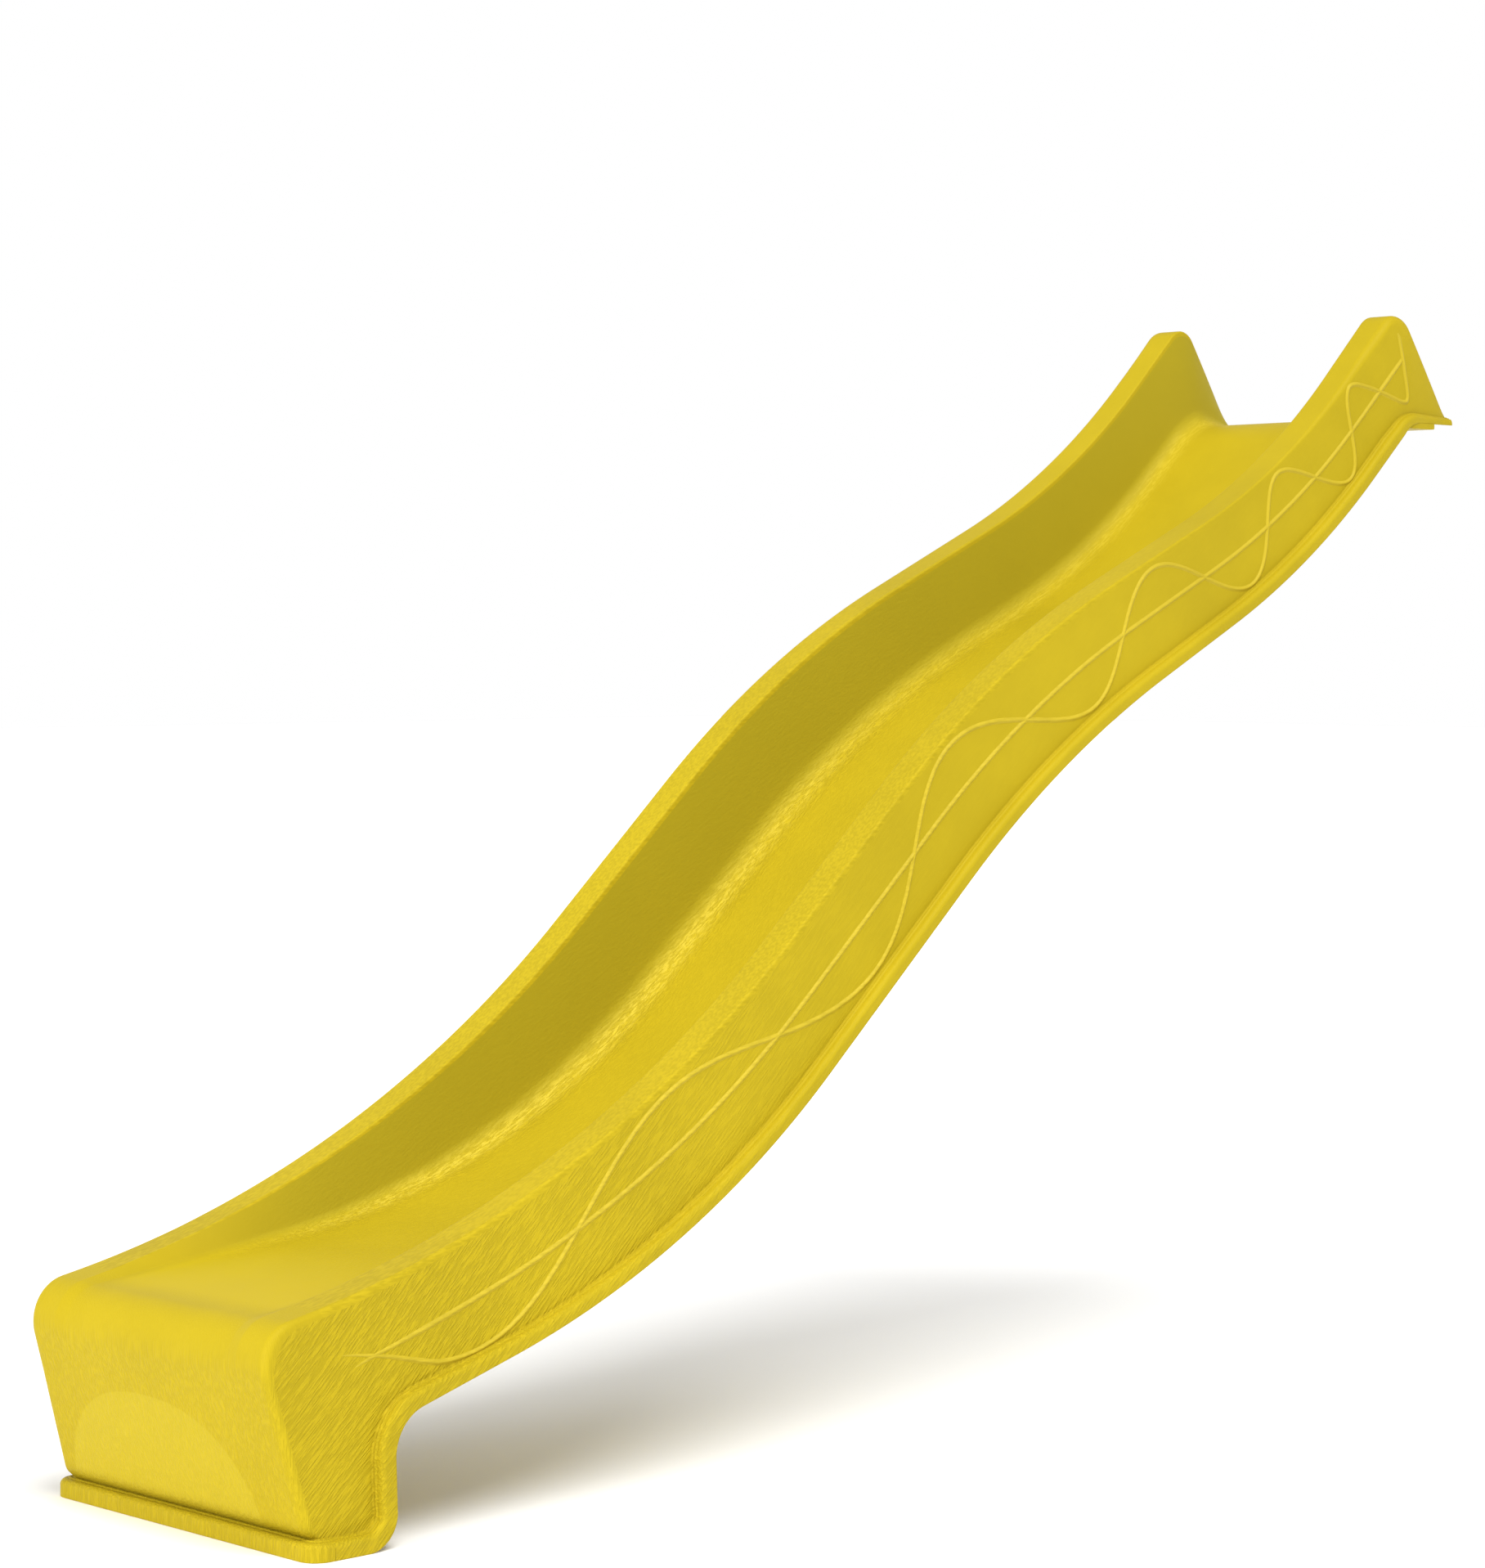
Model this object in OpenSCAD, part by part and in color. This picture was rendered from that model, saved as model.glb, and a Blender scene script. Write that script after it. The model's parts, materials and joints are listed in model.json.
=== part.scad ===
// Wave slide: a moulded playground slide with a double-skinned side wall, a hand rail
// along each side, a skirt round its foot and edges, and a lip that rests on a platform.
// X is the width, the exit faces -Y, the platform is at +Y, and the ground is Z = 0.

/* [Overall] */
// Height of the platform over the ground
platform_h = 1500; // [1250:10:1800]
// Run from the front of the foot to the end of the platform lip
run = 2320; // [1950:10:2800]
// Width over the two hand rails
rail_span = 500; // [420:5:620]

/* [Bed] */
// Height of the exit edge over the ground
exit_h = 290; // [240:5:350]
// Length of the level part at the platform
lip_len = 124; // [105:1:150]
// Radius of the hollow at the run-out
hollow_r = 1230; // [800:10:1500]
// Radius of the crest half way up
crest_r = 1800; // [1200:10:2200]
// Radius of the hollow under the platform
sweep_r = 1300; // [900:10:1600]
// Radius where the bed turns down from the platform
lip_r = 120; // [80:5:150]
// Radius of the rolled edge at the exit
roll_r = 55; // [40:1:70]
// How far the rolled edge stands out over the foot
overhang = 66; // [50:1:80]

/* [Side walls] */
// Thickness of the moulded wall
wall = 5; // [3:0.5:6]
// Full height of a hand rail over the bed
rail_h = 153; // [125:1:185]
// Height of the side wall's top corner over the platform
end_h = 165; // [140:1:200]
// Width of a hand rail
rail_w = 52; // [44:1:64]
// How far the inner wall leans in, from the rail down to the bed
inner_lean = 26; // [16:1:34]
// How far the outer wall leans out, from the rail down to the skirt
outer_lean = 16; // [10:1:22]
// Radius between the bed and the inner wall
fillet_r = 35; // [25:1:42]
// Radius of the hand rail's edges
rail_r = 12; // [8:0.5:16]

/* [Skirt and foot] */
// How far the skirt stands out from the outer wall
skirt_out = 19; // [14:1:24]
// Height of the skirt
skirt_h = 24; // [18:1:30]
// Radius of the skirt's outer edge
skirt_r = 9; // [5:0.5:11]
// Height of the bead along the top of the skirt
bead = 2; // [1:0.5:3]
// Depth of the foot, from front to back
foot_d = 135; // [115:1:165]
// Radius of the foot's two front corners, seen from above
foot_r = 35; // [29:1:45]
// Radius of the foot's back corner, seen from the side
heel_r = 40; // [28:1:48]
// Radius where the foot turns into the underside
arch_r = 45; // [30:1:60]

/* [Platform lip] */
// Thickness of the lip pad that rests on the platform
lip_t = 13; // [10:0.5:16]
// Length of the lip pad
pad_len = 60; // [45:1:80]
// Number of screw holes in the lip pad
hole_count = 2; // [2:1:4]
// Distance between the two outer screw holes
hole_span = 180; // [120:5:210]
// Diameter of a screw hole
hole_d = 9; // [5:0.5:12]
// Height of the stiffener under the lip, below the platform's surface
stiffener_h = 22; // [20:1:30]

/* [Ribs and relief] */
// Number of cross ribs under the bed
rib_count = 14; // [6:1:20]
// Number of webs inside each side wall
web_count = 9; // [4:1:12]
// Thickness of the ribs and webs
rib_t = 4; // [3:0.5:6]
// Depth of a cross rib
rib_h = 7; // [5:0.5:9]
// Width of the raised line on the outer wall
line_w = 9; // [6:0.5:12]
// Height of the raised line
line_h = 2.2; // [1:0.1:3]

/* [Hidden] */
yellow = "#E6C42B";
gap = 0.25;                      // clearance between pieces laid on a curved face

// Half widths of the cross-section, from the middle out
half_span = rail_span / 2;
rail_in = half_span - rail_w;
rail_mid = half_span - rail_w / 2;
wall_foot = rail_in - inner_lean;
root_half = half_span + outer_lean;
skirt_half = root_half + skirt_out;

// Where the bed's straights meet: share of the run, share of the climb from the exit
wave_corners = [[0.297, 0.067], [0.610, 0.607], [0.838, 0.807]];
// Hand rail's height over the bed: share of the run, share of its full height
rail_rise = [[-0.004, 0], [0.02, 0.06], [0.06, 0.15], [0.09, 0.23], [0.13, 0.37], [0.17, 0.52],
             [0.22, 0.66], [0.26, 0.77], [0.30, 0.86], [0.34, 0.93], [0.39, 0.98], [0.46, 1],
             [0.52, 1], [0.58, 0.97], [0.65, 0.91], [0.73, 0.87], [0.82, 0.83], [0.88, 0.78],
             [0.93, 0.74]];
// Depth of the skirt's edge below the bed: share of the run, depth
skirt_drop = [[0.09, 132], [0.13, 113], [0.17, 95], [0.22, 77], [0.26, 60], [0.30, 45],
              [0.34, 31], [0.38, 21], [0.42, 15], [0.47, 13], [0.52, 14], [0.58, 18],
              [0.65, 21], [0.73, 19], [0.82, 15], [0.93, 16]];

// Numbers of steps along the slide: front panel, rolled edge, foot's back, main run, top
n_panel = 4;
n_roll = 6;
n_heel = 4;
n_main = 46;
n_top = 16;
s_roll = n_panel;
s_main = s_roll + n_roll;
s_under = s_main + n_heel;
s_top = s_main + n_main;
s_end = s_top + n_top;

function unit(v) = v / norm(v);
function left_of(v) = [-v[1], v[0]];
function mix(a, b, t) = a + (b - a) * t;

// Points of the arc that rounds the corner b between a and c, kept within a share of the legs
function arc(a, b, c, r, n, share = 0.49) =
    let (u = unit(a - b), v = unit(c - b), half = acos(u * v) / 2,
         leg = min(r / tan(half), share * norm(a - b), share * norm(c - b)),
         rad = leg * tan(half), mid = b + unit(u + v) * rad / sin(half),
         start = b + u * leg - mid, side = sign(cross(b - a, c - b)))
    [for (k = [0:n]) let (w = side * (180 - 2 * half) * k / n)
        mid + [start[0] * cos(w) - start[1] * sin(w), start[0] * sin(w) + start[1] * cos(w)]];

// Lengths along a line of points, and the point or direction at one length
function lengths(p) = [for (i = 0, s = 0; i < len(p); i = i + 1,
    s = s + (i < len(p) ? norm(p[i] - p[i - 1]) : 0)) s];
function along(p, s, at) = [for (c = [0, 1]) lookup(at, [for (i = [0:len(p) - 1]) [s[i], p[i][c]]])];
function spaced(p, n) = let (s = lengths(p), total = s[len(s) - 1])
    [for (k = [0:n]) along(p, s, total * k / n)];
function tangent(p, i) = unit(p[min(i + 1, len(p) - 1)] - p[max(i - 1, 0)]);

// The bed's corners in the side view, from the panel's foot to the end of the lip
panel_foot = [skirt_out, skirt_h];
panel_base = [3, skirt_h + 14];
roll_corner = [-overhang, exit_h];
bend = [for (c = wave_corners) [c[0] * run, mix(exit_h, platform_h, c[1])]];
lip_corner = [run - lip_len, platform_h];
lip_end = [run, platform_h];
roll_arc = arc(panel_base, roll_corner, bend[0], roll_r, n_roll);
lip_arc = arc(bend[2], lip_corner, lip_end, lip_r, 8);
main_line = concat([roll_arc[n_roll]], arc(roll_corner, bend[0], bend[1], hollow_r, 16),
                   arc(bend[0], bend[1], bend[2], crest_r, 12),
                   arc(bend[1], bend[2], lip_corner, sweep_r, 12), [lip_arc[0]]);
bed_main = spaced(main_line, n_main);
bed_top = spaced(concat(lip_arc, [lip_end]), n_top);
panel_line = concat([panel_foot], spaced([panel_base, roll_arc[0]], n_panel - 1));
bed_front = concat(panel_line, [for (i = [1:n_roll]) roll_arc[i]]);
bed = concat(bed_front, [for (i = [1:n_main]) bed_main[i]], [for (i = [1:n_top]) bed_top[i]]);

// The hand rail's crown, straight on past the bed's last bend to the wall's top corner
function rail_over(i) = bed[i] + left_of(tangent(bed, i)) * rail_h * lookup(bed[i][0] / run, rail_rise);
climb = unit(lip_corner - bend[2]);
rail_last = bed[s_top] + left_of(climb) * rail_h * lookup(bed[s_top][0] / run, rail_rise);
top_corner = rail_last + climb * (platform_h + end_h - rail_last[1]) / climb[1];
wall_end = [run, platform_h + 8];
rail_top = spaced(concat([rail_last], arc(rail_last, top_corner, wall_end, 34, 6), [wall_end]), n_top);
rail = concat(bed_front, [for (i = [s_main + 1:s_top - 1]) rail_over(i)], rail_top);

// The skirt's lower edge: along the foot, up its back, under the bed, then along the lip
function edge_under(i) = bed[i] - left_of(tangent(bed, i)) * lookup(bed[i][0] / run, skirt_drop);
under_start = edge_under(s_under);
under_dir = unit(edge_under(s_under + 1) - under_start);
heel_back = [foot_d - 4, under_start[1] - (under_start[0] - foot_d + 4) * under_dir[1] / under_dir[0]];
heel = [foot_d, 0];
foot_front = [foot_r, 0];
foot_line = concat([foot_front], arc(foot_front, heel, heel_back, heel_r, 8),
                   arc(heel, heel_back, under_start, arch_r, 8), [under_start]);
edge_last = bed[s_top] - left_of(climb) * lookup(bed[s_top][0] / run, skirt_drop);
lip_low = platform_h - lip_t;
edge_corner = edge_last + climb * (lip_low - edge_last[1]) / climb[1];
edge_end = [run, lip_low];
edge_top = spaced(concat([edge_last], arc(edge_last, edge_corner, edge_end, 60, 6), [edge_end]), n_top);
edge = concat(spaced(foot_line, s_under), [for (i = [s_under + 1:s_top - 1]) edge_under(i)], edge_top);

// The skirt's root, where it meets the outer wall
function skirt_height(i) = lookup(i, [[s_top, skirt_h], [s_end, lip_t]]);
function edge_dir(i) = i == 0 ? [1, 0] : i == s_end ? [1, 0] : tangent(edge, i);
root = [for (i = [0:s_end]) edge[i] + left_of(edge_dir(i)) * skirt_height(i)];

// Cross-section from the middle of the bed to the crown, as width and height over the bed
inner_shape = concat([[0, 0]], arc([0, 0], [wall_foot, 0], [rail_in, rail_h], fillet_r, 4),
                     arc([wall_foot, 0], [rail_in, rail_h], [rail_mid, rail_h], rail_r, 3),
                     [[rail_mid, rail_h]]);
k_bed = 1;
k_wall = 6;
k_mid = len(inner_shape) - 1;
bed_half = inner_shape[k_bed][0];
k_crown = 4;
k_root = k_crown + 1;

// Skirt's outline from its root: how far out, how far down
skirt_shape = concat([[0, 0], [4, -bead], [7, -bead], [9, 0]],
                     arc([9, 0], [skirt_out, 0], [skirt_out, skirt_h], skirt_r, 3),
                     [[skirt_out, skirt_h]]);
k_edge = len(skirt_shape) - 1;

// Radius of the long edge: wider down the front panel's corner
function edge_radius(i) = lookup(i, [[0, foot_r - skirt_out - 1], [1, 30], [2, 34], [s_roll, 17],
                                     [s_roll + 2, rail_r]]);
function edge_half(i) = lookup(i, [[0, root_half], [s_roll, half_span]]);

// One section: a list of [point, inner normal] from the middle out to the skirt's edge.
// Where two sheets meet at a corner, both take the same slanted end.
function in3(x, yz) = [x, yz[0], yz[1]];
foot_mitre = [0, 0, -1];
function mitre(i) = i == 0 ? foot_mitre : [0, 0, 0];
function bed_normal(i) = i == 0 ? [-1, 0] : left_of(tangent(bed, i));
function skirt_down(i) = -left_of(edge_dir(i));
function root_normal(i) = in3(-1, skirt_down(i));
function inner_section(i) =
    let (h = norm(rail[i] - bed[i]), up = h > 1 ? unit(rail[i] - bed[i]) : bed_normal(i),
         shape = [for (p = inner_shape) [p[0], p[1] * h / rail_h]])
    [for (k = [0:k_mid])
        let (t = k <= k_bed ? [1, 0] : unit(shape[min(k + 1, k_mid)] - shape[k - 1]))
        [in3(shape[k][0], bed[i] + up * shape[k][1]), in3(t[1], -up * t[0]) + mitre(i)]];
function outer_section(i) =
    let (down = unit(root[i] - rail[i]), drop = norm(root[i] - rail[i]),
         crown = arc([rail_mid, 0], [edge_half(i), 0], [root_half, drop], edge_radius(i), k_crown, 0.96),
         shape = concat(crown, [[root_half, drop]]))
    [for (k = [0:k_root])
        let (t = unit(shape[min(k + 1, k_root)] - (k == 0 ? [rail_mid, 0] : shape[k - 1])))
        [in3(shape[k][0], rail[i] + down * shape[k][1]),
         k == k_root ? root_normal(i) : in3(-t[1], down * t[0]) + mitre(i)]];
function skirt_normal(k) =
    let (t = unit(skirt_shape[min(k + 1, k_edge)] - skirt_shape[max(k - 1, 0)])) [-t[1], t[0]];
function skirt_section(i) =
    let (down = skirt_down(i), squeeze = skirt_height(i) / skirt_h)
    [for (k = [0:k_edge]) let (p = skirt_shape[k], n = skirt_normal(k))
        [in3(root_half + p[0], root[i] + down * p[1] * squeeze),
         k == 0 ? root_normal(i) : in3(n[0], down * n[1])]];

inner = [for (i = [0:s_end]) inner_section(i)];
outer = [for (i = [0:s_end]) outer_section(i)];
skirt = [for (i = [0:s_end]) skirt_section(i)];

// A closed shell of one wall's thickness on a grid of [point, inner normal]
module shell(grid, thick = wall) {
    rows = len(grid);
    cols = len(grid[0]);
    n = rows * cols;
    points = concat([for (row = grid) for (p = row) p[0]],
                    [for (row = grid) for (p = row) p[0] + p[1] * thick]);
    function at(i, k) = i * cols + k;
    quads = concat(
        [for (i = [0:rows - 2]) for (k = [0:cols - 2]) [at(i, k), at(i, k + 1), at(i + 1, k + 1), at(i + 1, k)]],
        [for (i = [0:rows - 2]) for (k = [0:cols - 2])
            [n + at(i, k), n + at(i + 1, k), n + at(i + 1, k + 1), n + at(i, k + 1)]],
        [for (i = [0:rows - 2]) [at(i, 0), at(i + 1, 0), n + at(i + 1, 0), n + at(i, 0)]],
        [for (i = [0:rows - 2]) [at(i, cols - 1), n + at(i, cols - 1), n + at(i + 1, cols - 1), at(i + 1, cols - 1)]],
        [for (k = [0:cols - 2]) [at(0, k + 1), at(0, k), n + at(0, k), n + at(0, k + 1)]],
        [for (k = [0:cols - 2]) [at(rows - 1, k + 1), n + at(rows - 1, k + 1), n + at(rows - 1, k), at(rows - 1, k)]]);
    triangles = [for (q = quads) each [[q[3], q[2], q[1]], [q[3], q[1], q[0]]]];
    polyhedron(points, triangles);
}

function part_of(rows, i0, i1, k0, k1) = [for (i = [i0:i1]) [for (k = [k0:k1]) rows[i][k]]];
function flipped(p) = [[-p[0][0], p[0][1], p[0][2]], [-p[1][0], p[1][1], p[1][2]]];

module on_side(side) {
    color(yellow) mirror([side < 0 ? 1 : 0, 0, 0]) children();
}

// Bed: one sheet of even thickness, bent in the side view only
module sliding_bed() {
    top = concat([for (i = [s_main:s_end]) if (bed[i][0] < run - pad_len - 4) bed[i]],
                 [[run - pad_len, platform_h]]);
    last = len(top) - 1;
    under = [for (i = [0:last])
        top[i] - wall * (i == 0 ? bed_normal(s_main) : i == last ? [0, 1] : left_of(tangent(top, i)))];
    color(yellow) translate([-bed_half, 0, 0]) rotate([90, 0, 90]) linear_extrude(2 * bed_half)
        polygon(concat(top, [for (i = [last:-1:0]) under[i]]));
}

// Front panel with the rolled edge and its two rounded corners, in one sheet
module exit_panel() {
    color(yellow) shell([for (i = [0:s_main])
        let (half = concat(part_of(inner, i, i, k_bed, k_mid - 1)[0], part_of(outer, i, i, 0, k_crown)[0]))
        concat([for (k = [len(half) - 1:-1:0]) flipped(half[k])], half)]);
}

// Skirt across the front of the foot and round its two corners
module foot_skirt() {
    turn = k_crown;
    steps = [for (k = [0:turn]) 90 * k / turn];
    ends = concat([for (a = steps) [-1, 180 + a]], [for (a = steps) [1, 270 + a]]);
    color(yellow) shell([for (e = ends)
        let (m = [cos(e[1]), sin(e[1]), 0], centre = [e[0] * (skirt_half - foot_r), foot_r, skirt_h])
        [for (k = [0:k_edge]) let (p = skirt_shape[k], n = skirt_normal(k))
            [centre + m * (foot_r - skirt_out + p[0]) - [0, 0, p[1]],
             k == 0 ? foot_mitre - m : m * n[0] - [0, 0, n[1]]]]]);
}

// Lip pad that rests on the platform, with its row of screw holes
module platform_lip() {
    hole_y = run - pad_len / 2;
    pitch = hole_span / (hole_count - 1);
    color(yellow) difference() {
        translate([-bed_half, run - pad_len, platform_h - lip_t]) cube([2 * bed_half, pad_len, lip_t]);
        for (k = [0:hole_count - 1])
            translate([k * pitch - hole_span / 2, hole_y, platform_h - lip_t - 1])
                cylinder(d = hole_d, h = lip_t + 2, $fn = 48);
    }
}

// Cross bar in the bend under the lip, its top laid against the bed
module lip_stiffener() {
    back = run - pad_len;
    front = back - lip_len / 2;
    top = concat([for (i = [s_top:s_end]) if (bed[i][0] > front && bed[i][0] < back - 4)
                  bed[i] - (wall + gap) * left_of(tangent(bed, i))], [[back, platform_h - wall - gap]]);
    color(yellow) translate([-bed_half, 0, 0]) rotate([90, 0, 90]) linear_extrude(2 * bed_half)
        polygon(concat(top, [[back, platform_h - stiffener_h], [top[0][0], platform_h - stiffener_h]]));
}

module inner_wall(side) {
    on_side(side) shell(part_of(inner, s_main, s_end, k_bed, k_wall));
}
module hand_rail(side) {
    on_side(side) shell([for (i = [s_main:s_end])
        concat(part_of(inner, i, i, k_wall, k_mid - 1)[0], part_of(outer, i, i, 0, k_crown)[0])]);
}
module outer_wall(side) {
    on_side(side) shell(part_of(outer, 0, s_end, k_crown, k_root));
}
module side_skirt(side) {
    on_side(side) shell(part_of(skirt, 0, s_end, 0, k_edge));
}

// Webs inside a side wall, each between the backs of its two skins
module wall_webs(side) {
    function back(rows, i, k, t, dx) = mix(rows[i][k][0] + rows[i][k][1] * wall,
        rows[i + 1][k][0] + rows[i + 1][k][1] * wall, t) + [dx, 0, 0];
    first = s_main + 9;
    for (j = [0:web_count - 1]) {
        i = first + round(j * (s_top - first) / (web_count - 1));
        share = rib_t / norm(bed[i + 1] - bed[i]);
        on_side(side) shell([for (t = [0.5 - share / 2, 0.5 + share / 2])
            let (foot_in = back(inner, i, k_wall - 1, t, gap), head_in = back(inner, i, k_wall, t, gap),
                 foot_out = back(outer, i, k_root, t, -gap), head_out = back(outer, i, k_crown, t, -gap))
            [[foot_in, foot_out - foot_in], [head_in, head_out - head_in]]], 1);
    }
}

// Cross ribs under the bed, square to it
module bed_ribs() {
    for (j = [0:rib_count - 1]) {
        i = s_main + 2 + round(j * (n_main - 5) / (rib_count - 1));
        way = unit(bed[i + 1] - bed[i]);
        seat = (bed[i] + bed[i + 1]) / 2 - left_of(way) * (wall + gap);
        color(yellow) translate([-bed_half, seat[0], seat[1]]) rotate([atan2(way[1], way[0]), 0, 0])
            translate([0, -rib_t / 2, -rib_h]) cube([2 * bed_half, rib_t, rib_h]);
    }
}

// Raised lines on the outer wall: a middle line, and a wave that tightens towards the top
wall_mid = [for (i = [s_main:s_end]) (outer[i][k_crown][0] + outer[i][k_root][0]) / 2];
wall_lengths = lengths(wall_mid);
wave_start = 0.026 * run;
first_half = 0.157 * run;
long_half = 0.187 * run;
shrink = 0.83;
half_waves = 11;
steps_each = 8;
function wave_at(p) = wave_start + (p < 1 ? first_half * p
    : first_half + long_half * (1 - pow(shrink, p - 1)) / (1 - shrink));
// Point of the outer wall at a length and a share of its height, with the outward normal
function wall_point(s, share) =
    let (f = lookup(s, [for (i = [0:len(wall_mid) - 1]) [wall_lengths[i], s_main + i]]),
         i = min(floor(f), s_end - 1), a = outer[i], b = outer[i + 1],
         low = mix(a[k_root][0], b[k_root][0], f - i), high = mix(a[k_crown][0], b[k_crown][0], f - i))
    [mix(high, low, share), unit(cross(low - high, b[k_crown][0] - a[k_crown][0]))];
module raised_line(points) {
    last = len(points) - 1;
    shell([for (i = [0:last])
        let (way = points[min(i + 1, last)][0] - points[max(i - 1, 0)][0], out = points[i][1],
             across = unit(cross(way, out)) * line_w / 2, top = points[i][0] + out * (line_h + gap))
        [[top - across, -out], [top + across, -out]]], line_h);
}
module wave_line(side) {
    total = wave_at(half_waves);
    on_side(side) {
        raised_line([for (k = [0:half_waves * steps_each]) let (p = k / steps_each)
            wall_point(wave_at(p), 0.5 + 0.43 * sin(180 * p))]);
        raised_line([for (k = [0:48]) wall_point(mix(wave_at(0), total, k / 48), 0.5)]);
    }
}

sliding_bed();
exit_panel();
foot_skirt();
platform_lip();
lip_stiffener();
inner_wall(1);  // right_inner_wall
inner_wall(-1);  // left_inner_wall
hand_rail(1);  // right_hand_rail
hand_rail(-1);  // left_hand_rail
outer_wall(1);  // right_outer_wall
outer_wall(-1);  // left_outer_wall
side_skirt(1);  // right_skirt
side_skirt(-1);  // left_skirt
wall_webs(1);  // right_wall_webs
wall_webs(-1);  // left_wall_webs
bed_ribs();
wave_line(1);  // right_wave_line
wave_line(-1);  // left_wave_line
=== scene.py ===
"""Looks of a moulded wave slide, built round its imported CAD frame.

Every skin is a grid of points worked out with numpy: stations run along the slide, from the
front foot over the rolled exit and up the bed to the platform lip, and each station carries a
cross-section from the middle of the bed over the hand rail and down to the skirt.
X is the width, the exit faces -Y, the platform is at +Y and the ground is Z = 0, in metres.
"""

import json
import logging
import math
from dataclasses import dataclass, field
from enum import Enum

import bpy
import numpy as np
from mathutils import Matrix, Vector


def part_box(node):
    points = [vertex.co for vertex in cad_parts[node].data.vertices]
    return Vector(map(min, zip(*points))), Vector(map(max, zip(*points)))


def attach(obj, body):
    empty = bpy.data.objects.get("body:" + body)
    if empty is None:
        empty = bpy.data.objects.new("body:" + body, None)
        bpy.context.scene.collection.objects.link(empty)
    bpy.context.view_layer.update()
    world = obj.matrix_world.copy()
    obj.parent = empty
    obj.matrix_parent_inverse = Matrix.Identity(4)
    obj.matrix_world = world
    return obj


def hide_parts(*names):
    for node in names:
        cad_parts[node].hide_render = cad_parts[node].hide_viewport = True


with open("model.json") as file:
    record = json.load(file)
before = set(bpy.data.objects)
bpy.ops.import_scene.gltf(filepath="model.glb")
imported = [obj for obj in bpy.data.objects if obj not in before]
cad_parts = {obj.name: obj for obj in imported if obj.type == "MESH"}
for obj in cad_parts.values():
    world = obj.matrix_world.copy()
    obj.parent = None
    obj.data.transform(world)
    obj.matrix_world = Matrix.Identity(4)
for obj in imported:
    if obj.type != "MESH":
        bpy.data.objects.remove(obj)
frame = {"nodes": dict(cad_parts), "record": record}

log = logging.getLogger("wave_slide")
MM = 0.001
BODY = "root"
WALL_BAND = (0.156, 0.180)  # half widths between which the chute's wall rises out of the fillet
Corner = tuple[float, float, float]
Colour = tuple[float, float, float]


class Side(Enum):
    """The slide's two sides, each with its sign along X."""

    RIGHT = 1
    LEFT = -1

    @property
    def label(self) -> str:
        """The side's name as the nodes use it."""
        return self.name.lower()


# ---------------------------------------------------------------- shader wrapper


class Value:
    """A shader socket that takes part in Python arithmetic by adding Math nodes."""

    def __init__(self, graph: "Graph", socket: bpy.types.NodeSocket) -> None:
        """Keep the node graph and the output socket."""
        self.graph, self.socket = graph, socket

    def _math(self, operation: str, first: object, second: object) -> "Value":
        """Add one Math node with two operands."""
        node = self.graph.node("ShaderNodeMath", {"operation": operation}, {0: first, 1: second})
        return Value(self.graph, node.outputs[0])

    def __add__(self, other: object) -> "Value":
        """Sum."""
        return self._math("ADD", self, other)

    def __radd__(self, other: object) -> "Value":
        """Sum with a number on the left."""
        return self._math("ADD", other, self)

    def __sub__(self, other: object) -> "Value":
        """Difference."""
        return self._math("SUBTRACT", self, other)

    def __rsub__(self, other: object) -> "Value":
        """Difference with a number on the left."""
        return self._math("SUBTRACT", other, self)

    def __mul__(self, other: object) -> "Value":
        """Product."""
        return self._math("MULTIPLY", self, other)

    def __rmul__(self, other: object) -> "Value":
        """Product with a number on the left."""
        return self._math("MULTIPLY", other, self)


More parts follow.
